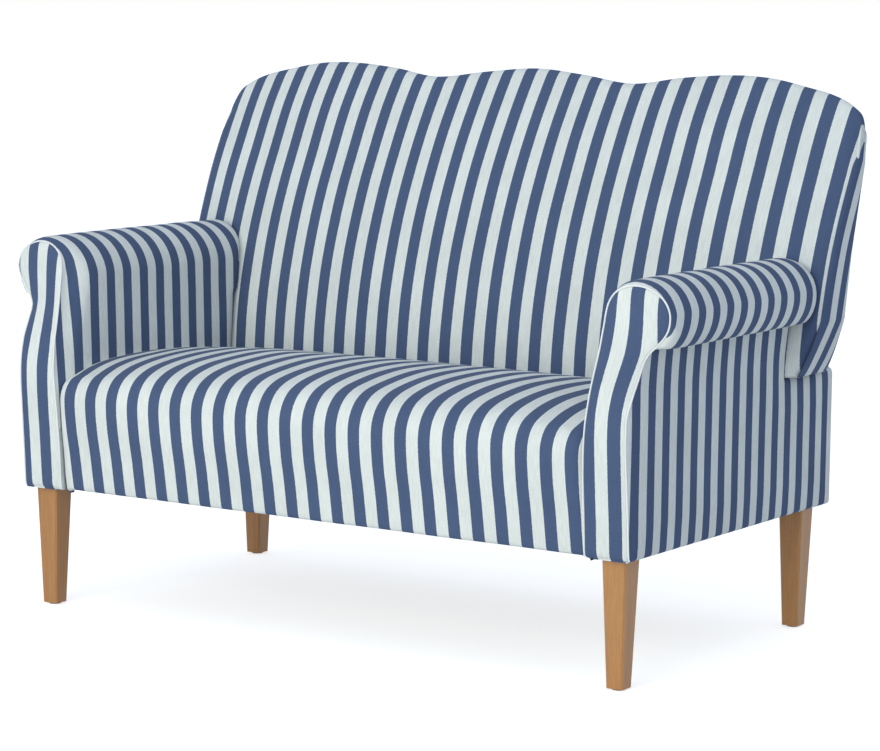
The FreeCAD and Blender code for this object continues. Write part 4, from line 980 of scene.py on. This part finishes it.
def back_ring(x):
    """One section of the back: up the front, over the crest and down the rear."""
    sizes = shape()
    reach = abs(x)
    top = float(back_top(x))
    low = PAD_LOW + FOOT_UP * max(foot_share(reach), 0) ** 3
    if reach > sizes.inner + BESIDE_ARM:
        low = max(low, sizes.deck + 1)
    rise = np.linspace(low, top - BROW, 74)
    front = np.column_stack([back_front(x, rise) + edge_in(reach, rise), rise])
    drop = np.linspace(top - FOLD, low, 60)
    least = back_front(x, drop) + edge_in(reach, drop) + 6
    rear = np.column_stack([np.maximum(back_rear(drop) - rear_in(x, drop), least), drop])
    start = front[-1]
    thick = rear[0, 0] - start[0]
    slope = (front[-1, 0] - front[-2, 0]) / (front[-1, 1] - front[-2, 1])
    bend = start[0] + min(BROW * slope, 0.3 * thick)
    crest = bend + min(11.0, 0.16 * thick)
    fold = min(20.0, 0.3 * thick)
    shoulder = rear[0, 0] - fold
    brow = [tuple((1 - share) ** 2 * start + 2 * share * (1 - share) * np.array([bend, top])
                  + share ** 2 * np.array([crest, top])) for share in np.linspace(0, 1, 14)[1:]]
    sink = min(8.0, 0.35 * max(shoulder - crest, 0))
    ridge = [(crest + (shoulder - crest) * share, top - sink * share * share)
             for share in np.linspace(0, 1, 6)[1:]]
    fall = [(shoulder + fold * math.sin(angle), top - sink - (FOLD - sink) * (1 - math.cos(angle)))
            for angle in np.radians(np.linspace(0, 90, 12))[1:]]
    outer = np.vstack([front, brow, ridge, fall, rear[1:]])
    soft = unevenness(np.full(len(outer), float(x)), travel(outer), 190, sizes.seed + 20)
    height = outer[:, 1]
    outer[:, 0] += 0.9 * soft * np.clip((height - low) / 60, 0, 1) * np.clip((top - height) / 40, 0, 1)
    return outer


def lining(x, outer):
    """Inside of a section of the back: clear of the posts and rails, open behind."""
    share = max(foot_share(abs(x)), 0)
    low = float(outer[0, 1]) + 14 * min(2 * share, 1) + 1
    if abs(x) > 640:
        middle = outer.mean(axis=0)
        return evenly(middle + 0.6 * (outer[[-1, 130, 100, 74, 30, 0]] - middle), 60)
    top, crest = float(outer[:, 1].max()) - BROW - 1, float(outer[:, 0].max()) - 5.5
    brow = top - 24

    def before(z, thick):
        return float(back_front(x, z)) + thick, z

    rise = [(float(outer[-1, 0]) - 1, low), (crest, top - 20), (crest, top),
            (before(brow, 24)[0] + 4, top), before(brow, 24), before((low + brow) / 2, 40), before(low, 55)]
    return evenly(rise, 60)


def make_back():
    """Pad of the back with its camel top, wrapped over to the rear."""
    sizes = shape()
    turn = np.radians(np.linspace(0, 90, 12))[1:]
    flat_half, step_x = sizes.half - sizes.edge, sizes.inner + BESIDE_ARM
    # two sections lie close together where the foot of the pad steps up beside the arm
    flat = np.concatenate([np.linspace(-flat_half, -step_x - 1.2, 26),
                           np.linspace(0.2 - step_x, step_x - 0.2, 121),
                           np.linspace(step_x + 1.2, flat_half, 26)])
    ends = flat_half + sizes.edge * np.sin(turn)
    run_ends = flat_half + sizes.edge * turn
    stations = np.concatenate([-ends[::-1], flat, ends])
    across = np.concatenate([-run_ends[::-1], flat, run_ends])
    # the cloth lies a little wider over the right half
    across = across - 0.0165 * np.maximum(across, 0) + 1.5 * (across < 0) + BACK_PHASE
    rings, uv = [], []
    for x, u in zip(stations, across):
        outer = back_ring(x)
        inner = lining(x, outer)
        loop = np.vstack([outer, inner])
        rings.append(np.column_stack([x + spread(np.full(len(loop), float(x)), loop[:, 1]), loop]))
        length = travel(outer)
        along = np.concatenate([length, length[-1] + travel(inner)])
        uv.append(np.column_stack([np.full(len(loop), u), along]))
    made = lofted("back_cover", rings, uv, striped_canvas("back_canvas"))
    finish(made, "cover", "back_pad", fill=0.8)


class SOFA_OT_back(bpy.types.Operator):
    """Padded back with a camel top and its side gussets"""
    bl_idname = "sofa.back"
    bl_label = "Back"

    def execute(self, context):
        make_back()
        for hand, side in SIDES.items():
            make_gusset(hand, side)
        return {"FINISHED"}


def side_point(run, z):
    """Half width and depth at a distance round the side of the back from its front seam, and all the way."""
    half = back_half(z)
    edge = shape().edge - 18 * eased((630 - z) / 100)
    start = back_front(half, z) + edge - edge * math.pi / 4
    deep, wide = corner_depth(z, half), corner_width(half)
    flat = back_rear(z) - deep - start
    # the panel follows the crest down behind the shoulder
    behind = np.clip((run - 0.3 * flat) / (flat + deep), 0, 1)
    half = back_half(z + np.where(z > 860, 26 * behind ** 2, 0))
    short = np.clip(math.pi / 4 - run / edge, 0, None)
    angles = np.linspace(0, math.pi / 2, 19)
    inward = wide[:, None] * (1 - np.cos(angles))
    back = deep[:, None] * np.sin(angles)
    steps = np.hypot(np.diff(inward, axis=1), np.diff(back, axis=1))
    marks = np.hstack([np.zeros((len(z), 1)), np.cumsum(steps, axis=1)]) + flat[:, None]
    x = half - edge * (1 - np.cos(short))
    y = start + run + np.where(short > 0, edge * (short - np.sin(short)), 0)
    for row in np.nonzero(run > flat)[0]:
        x[row] -= np.interp(run[row], marks[row], inward[row])
        y[row] = start[row] + flat[row] + np.interp(run[row], marks[row], back[row])
    return x + spread(x, z), y, marks[:, -1]


def make_gusset(hand, side):
    """Side panel of the back from the deck to the shoulder, its stripes parallel to the front edge."""
    sizes = shape()
    low, high = sizes.deck + 3, 940.0
    rise = np.linspace(low, high, 76)
    close = np.clip((rise - 870) / (high - 870), 0, 1) ** 1.6
    width = side_point(np.zeros_like(rise), rise)[2] - 5
    front_line = np.column_stack([close * width * 0.42, rise])
    rear_line = np.column_stack([width - close * width * 0.58, rise])[::-1]
    foot = straight((rear_line[-1, 0], low), (0, low), 20)[:-1]
    outline = np.vstack([front_line, rear_line[1:], foot])

    def place(flat, distance, proud=0.0):
        run, z = flat.T
        x, y, _ = side_point(run, z)
        ahead = side_point(run + 1.0, z)
        out = np.array([ahead[1] - y, x - ahead[0]])
        out /= np.maximum(np.linalg.norm(out, axis=0), 1e-6)
        full = proud + 0.9 + 1.3 * (1 - np.exp(-distance / 10))
        full += 0.6 * unevenness(run, z, 80, sizes.seed + side) * np.clip(distance / 15, 0, 1)
        return np.column_stack([side * (x + out[0] * full), y + out[1] * full, z])

    def behind(flat, distance):
        return place(flat, np.zeros(len(flat)), -3.0)

    made = panel(f"back_side_{hand}", outline, place, behind, lambda flat: flat + (3, 0),
                 striped_canvas(f"gusset_canvas_{hand}"), 7.0)
    finish(made, "cover")


class SOFA_OT_rear(bpy.types.Operator):
    """Outside of the back and the rear of the base"""
    bl_idname = "sofa.rear"
    bl_label = "Rear covers"

    def execute(self, context):
        make_outside_back()
        make_base_rear()
        return {"FINISHED"}


def make_outside_back():
    """Thin panel over the rear of the back, from the fold of the crest to the base."""
    sizes = shape()
    half_width, low = 642, sizes.deck + 2
    x = np.linspace(-half_width, half_width, 150)
    top = np.column_stack([x, back_top(x) - 20])
    rise = np.linspace(top[-1, 1], low, 50)[1:]
    half = back_half(rise)
    right = np.column_stack([np.minimum(half_width, half - corner_width(half) + 6), rise])
    left = (right * (-1, 1))[::-1]
    foot = straight((right[-1, 0], low), (left[0, 0], low), 120)[:-1]
    outline = np.vstack([top, right, foot, left[:-1]])

    def surface(x, z):
        return back_rear(z) - rear_in(x, z)

    def place(flat, distance):
        x, z = flat.T
        y = surface(x, z) - 1.5 + 3.4 * (1 - np.exp(-distance / 12))
        return np.column_stack([x, y + 0.8 * unevenness(x, z, 260, sizes.seed + 40), z])

    def behind(flat, distance):
        x, z = flat.T
        return np.column_stack([x, surface(x, z) - 5.5, z])

    made = panel("back_outside", outline, place, behind, lambda flat: flat + (REAR_PHASE, 0),
                 striped_canvas("rear_canvas"), 14.0)
    finish(made, "cover", "outside_back")


def make_base_rear():
    """Padded panel over the rear of the base."""
    sizes = shape()
    near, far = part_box("base_rear_cover")
    width, depth = far[0] * 1000 - 0.5, near[1] * 1000 + sizes.middle
    low, high = near[2] * 1000, far[2] * 1000 + 1.5
    outline = loop_through(((-width, high), (width, high), (width, low), (-width, low)), (139, 31, 139, 31))

    def place(flat, distance):
        x, z = flat.T
        y = depth + 12 + 2.0 * np.clip(distance / 50, 0, 1) - drawn_in(distance, 8.0)
        return np.column_stack([x, y + 0.8 * unevenness(x, z, 240, sizes.seed + 41), z])

    def behind(flat, distance):
        return np.column_stack([flat[:, 0], np.full(len(flat), depth + 0.4), flat[:, 1]])

    made = panel("base_rear", outline, place, behind, lambda flat: flat + (REAR_PHASE, 0),
                 striped_canvas("base_rear_canvas"), 14.0)
    finish(made, "cover", "base_rear_cover")


def dust_outline(inset):
    """Edge of the black cloth under the frame, drawn in and notched round the leg plates."""
    middle = shape().middle
    (_, front, _), (right, rear, _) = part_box("dust_cover")
    plate_x = -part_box("leg_front_left")[0][0] * 1000 - 56 - inset
    plate_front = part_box("leg_front_left")[1][1] * 1000 + middle + 8 + inset
    plate_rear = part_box("leg_rear_left")[0][1] * 1000 + middle - 8 - inset
    right, front, rear = right * 1000 - inset, front * 1000 + middle + inset, rear * 1000 + middle - inset
    half = [(plate_x, front), (plate_x, plate_front), (right, plate_front), (right, plate_rear),
            (plate_x, plate_rear), (plate_x, rear)]
    return loop_through(half + [(-x, y) for x, y in half[::-1]], [24] * 12)


class SOFA_OT_dust_cloth(bpy.types.Operator):
    """Black cloth stapled under the frame"""
    bl_idname = "sofa.dust_cloth"
    bl_label = "Dust cloth"

    def execute(self, context):
        near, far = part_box("dust_cover")
        low, high = near[2] * 1000, far[2] * 1000

        def sagged(flat, distance, z):
            sag = 4.0 * (1 - np.exp(-distance / 90)) + 0.5 * unevenness(*flat.T, 150, shape().seed + 60)
            return np.column_stack([flat, z - sag * np.clip(distance / 20, 0, 1)])

        made = panel("dust_cloth", dust_outline(0.0),
                     lambda flat, distance: sagged(flat, distance, low + 0.2),
                     lambda flat, distance: sagged(flat, distance, high - 0.1), lambda flat: flat,
                     woven("spunbonded_dust_cloth", "26272A", "141517", 0.0022, 0.9), 16.0)
        finish(made, "dust_cloth", "dust_cover")
        line = dust_outline(9.0)
        line = np.column_stack([np.vstack([line, line[:1]]), np.full(len(line) + 1, low - 0.1)])
        zinc = plain_finish("staple_wire", "C3C6C9", "A4A8AD", 300.0, {"Roughness": 0.35, "Metallic": 1.0})
        made = through_nodes(path_object("dust_staples", [line]), staple_tree(),
                             {"Spacing": 0.045, "Width": 0.01, "Wire": 0.0008, "Finish": zinc})
        finish(made, "zinc_steel")
        return {"FINISHED"}


FINISHES = {
    "legs": ("leg_front_left", "leg_front_right", "leg_rear_left", "leg_rear_right"),
    "frame": ("corner_blocks", "front_rail", "spring_rail", "rear_rail", "rear_tack_rail", "centre_stretcher",
              "side_rail_left", "side_rail_right", "back_top_rail", "back_post_left", "back_post_right",
              "back_lower_rail", "back_stile", "arm_rail_left", "arm_rail_right", "arm_tack_rail_left",
              "arm_tack_rail_right"),
    "board": ("deck_board_left", "deck_board_right", "arm_stump_left", "arm_stump_right",
              "arm_rear_board_left", "arm_rear_board_right", "arm_inner_board_left", "arm_inner_board_right",
              "arm_outer_board_left", "arm_outer_board_right"),
    "zinc": ("leg_plates", "leg_bolts", "leg_nuts", "spring_clips"),
    "spring": ("seat_springs", "spring_ties"),
    "glide": ("leg_glides",),
    "foam": ("seat_foam", "arm_roll_foam_left", "arm_roll_foam_right"),
    "hessian": ("seat_hessian",),
    "webbing": ("back_straps",),
}


class SOFA_OT_finishes(bpy.types.Operator):
    """Wood, steel, foam and cloth finishes of the parts that come from the CAD frame"""
    bl_idname = "sofa.finishes"
    bl_label = "Finishes"

    def execute(self, context):
        made = {
            "legs": beech("lacquered_beech", "B9834A", "9E6A35", 0.25, 0.42, 0.2),
            "frame": beech("planed_beech", "CDA777", "B88D58", 0.4, 0.7, 0.0),
            "board": plain_finish("fibreboard", "A98A62", "8C7150", 420.0, {"Roughness": 0.85}),
            "zinc": plain_finish("zinc_plate", "C9CCCE", "A7ABB0", 300.0,
                                 {"Roughness": 0.38, "Metallic": 1.0}),
            "spring": plain_finish("oiled_spring_steel", "4A4B4D", "2E2F31", 240.0,
                                   {"Roughness": 0.45, "Metallic": 1.0}),
            "glide": plain_finish("grey_nylon", "5A5C5E", "4A4C4E", 380.0, {"Roughness": 0.5}),
            "foam": plain_finish("cut_foam", "E6D9A8", "CDBE8A", 900.0, {"Roughness": 0.95}, 2.0, 0.0008),
            "hessian": woven("hessian", "BFA377", "7E6641", 0.003, 0.95),
            "webbing": woven("jute_webbing", "B79B6B", "6F5836", 0.004, 0.9),
        }
        for finish_name, names in FINISHES.items():
            for name in names:
                NODES[name].data.materials.clear()
                NODES[name].data.materials.append(made[finish_name])
        return {"FINISHED"}


class SOFA_OT_stage(bpy.types.Operator):
    """Pale floor, soft lamps and the camera at the photograph's angle"""
    bl_idname = "sofa.stage"
    bl_label = "Stage"

    def execute(self, context):
        scene = context.scene
        light = scene.sofa_stage
        scene.view_settings.view_transform = "Standard"
        mesh = bpy.data.meshes.new("floor")
        mesh.from_pydata([(-30, -30, 0), (30, -30, 0), (30, 30, 0), (-30, 30, 0)], [], [(0, 1, 2, 3)])
        floor = bpy.data.objects.new("floor", mesh)
        scene.collection.objects.link(floor)
        mesh.materials.append(self.floor_finish(light))
        self.lamp("key", (0.3, -4.4, 1.45), (0.0, 0, 0.55), 3.0, light.key, (1.0, 0.99, 0.86))
        self.lamp("top", (0.6, -1.2, 3.8), (0.0, 0.1, 0.5), 2.6, light.top, (1.0, 1.0, 1.0))
        self.surroundings(scene, light)
        self.camera(scene)
        return {"FINISHED"}

    def floor_finish(self, light):
        """White painted floor: seen by the camera it fades to white and keeps only the soft shadow."""
        made, tree, shader = new_material("white_painted_floor")
        grit = noise(tree, object_place(tree), 3.0, 2.0)
        colour = blended(tree, maths(tree, "MULTIPLY", grit, 0.04), tuple(light.floor), linear("E6E8E9"))
        shade(tree, shader, {"Base Color": colour, "Roughness": 0.9, "Specular IOR Level": 0.1,
                             "Emission Color": (1, 1, 1, 1)})
        rays = node(tree, "ShaderNodeLightPath")
        seen = maths(tree, "MAXIMUM", rays.outputs["Is Camera Ray"], rays.outputs["Is Glossy Ray"])
        shade(tree, shader, {"Emission Strength": maths(tree, "MULTIPLY", seen, 0.66)})
        return made

    def lamp(self, name, place, aim, size, power, colour):
        data = bpy.data.lights.new(name, "AREA")
        data.energy, data.size, data.color = power, size, colour
        made = bpy.data.objects.new(name, data)
        made.location = place
        made.rotation_euler = (Vector(aim) - Vector(place)).to_track_quat("-Z", "Y").to_euler()
        bpy.context.scene.collection.objects.link(made)

    def surroundings(self, scene, light):
        """Even pale light, white where the camera or a reflection sees it."""
        world = bpy.data.worlds.new("studio")
        scene.world = world
        world.use_nodes = True
        tree = world.node_tree
        tree.nodes.clear()
        rays = node(tree, "ShaderNodeLightPath")
        clear = maths(tree, "MAXIMUM", rays.outputs["Is Glossy Ray"], rays.outputs["Is Transmission Ray"])
        seen = maths(tree, "MAXIMUM", rays.outputs["Is Camera Ray"], clear)
        soft = node(tree, "ShaderNodeBackground", Color=(0.78, 0.88, 1.05, 1), Strength=light.world)
        white = node(tree, "ShaderNodeBackground", Color=(1, 1, 1, 1), Strength=1.0)
        mixed = node(tree, "ShaderNodeMixShader", _0=seen, _1=soft.outputs[0], _2=white.outputs[0])
        node(tree, "ShaderNodeOutputWorld", Surface=mixed.outputs[0])

    def camera(self, scene):
        """Camera before the sofa's right front corner, with the photograph's lens and framing."""
        place, (yaw, pitch, roll) = (3.3308, -5.00413, 1.2438), (0.572, 0.1324, 0.0118)
        ahead = Vector((-math.sin(yaw) * math.cos(pitch), math.cos(yaw) * math.cos(pitch),
                        -math.sin(pitch)))
        right = Vector((math.cos(yaw), math.sin(yaw), 0))
        above = right.cross(ahead)
        right, above = (math.cos(roll) * right + math.sin(roll) * above,
                        math.cos(roll) * above - math.sin(roll) * right)
        data = bpy.data.cameras.new("camera")
        data.sensor_width, data.lens = 36.0, 131.305
        data.shift_x, data.shift_y = -0.0428, 0.0077
        made = bpy.data.objects.new("camera", data)
        turned = Matrix((right, above, -ahead)).transposed().to_4x4()
        made.matrix_world = Matrix.Translation(place) @ turned
        scene.collection.objects.link(made)
        scene.camera = made


class SOFA_PT_panel(bpy.types.Panel):
    """Buttons for the sofa's pieces"""
    bl_label = "Striped sofa"
    bl_idname = "SOFA_PT_panel"
    bl_space_type = "VIEW_3D"
    bl_region_type = "UI"
    bl_category = "Sofa"

    def draw(self, context):
        for group in (context.scene.sofa_cloth, context.scene.sofa_shape, context.scene.sofa_stage):
            box = self.layout.box()
            for name in group.bl_rna.properties.keys():
                if name not in ("rna_type", "name"):
                    box.prop(group, name)
        for button in STEPS:
            self.layout.operator(button.bl_idname)


STEPS = (SOFA_OT_stage, SOFA_OT_finishes, SOFA_OT_seat, SOFA_OT_arm_fronts, SOFA_OT_piping,
         SOFA_OT_arm_covers, SOFA_OT_side_covers, SOFA_OT_back, SOFA_OT_rear, SOFA_OT_dust_cloth)
GROUPS = {"sofa_cloth": SofaCloth, "sofa_shape": SofaShape, "sofa_stage": SofaStage}
CLASSES = tuple(GROUPS.values()) + STEPS + (SOFA_PT_panel,)


def register():
    for listed in CLASSES:
        bpy.utils.register_class(listed)
    for name, group in GROUPS.items():
        setattr(bpy.types.Scene, name, PointerProperty(type=group))


def unregister():
    for name in GROUPS:
        delattr(bpy.types.Scene, name)
    for listed in reversed(CLASSES):
        bpy.utils.unregister_class(listed)


def main():
    """Registers the add-on and makes every piece."""
    register()
    for listed in STEPS:
        group, action = listed.bl_idname.split(".")
        getattr(getattr(bpy.ops, group), action)()


if __name__ == "__main__":
    main()
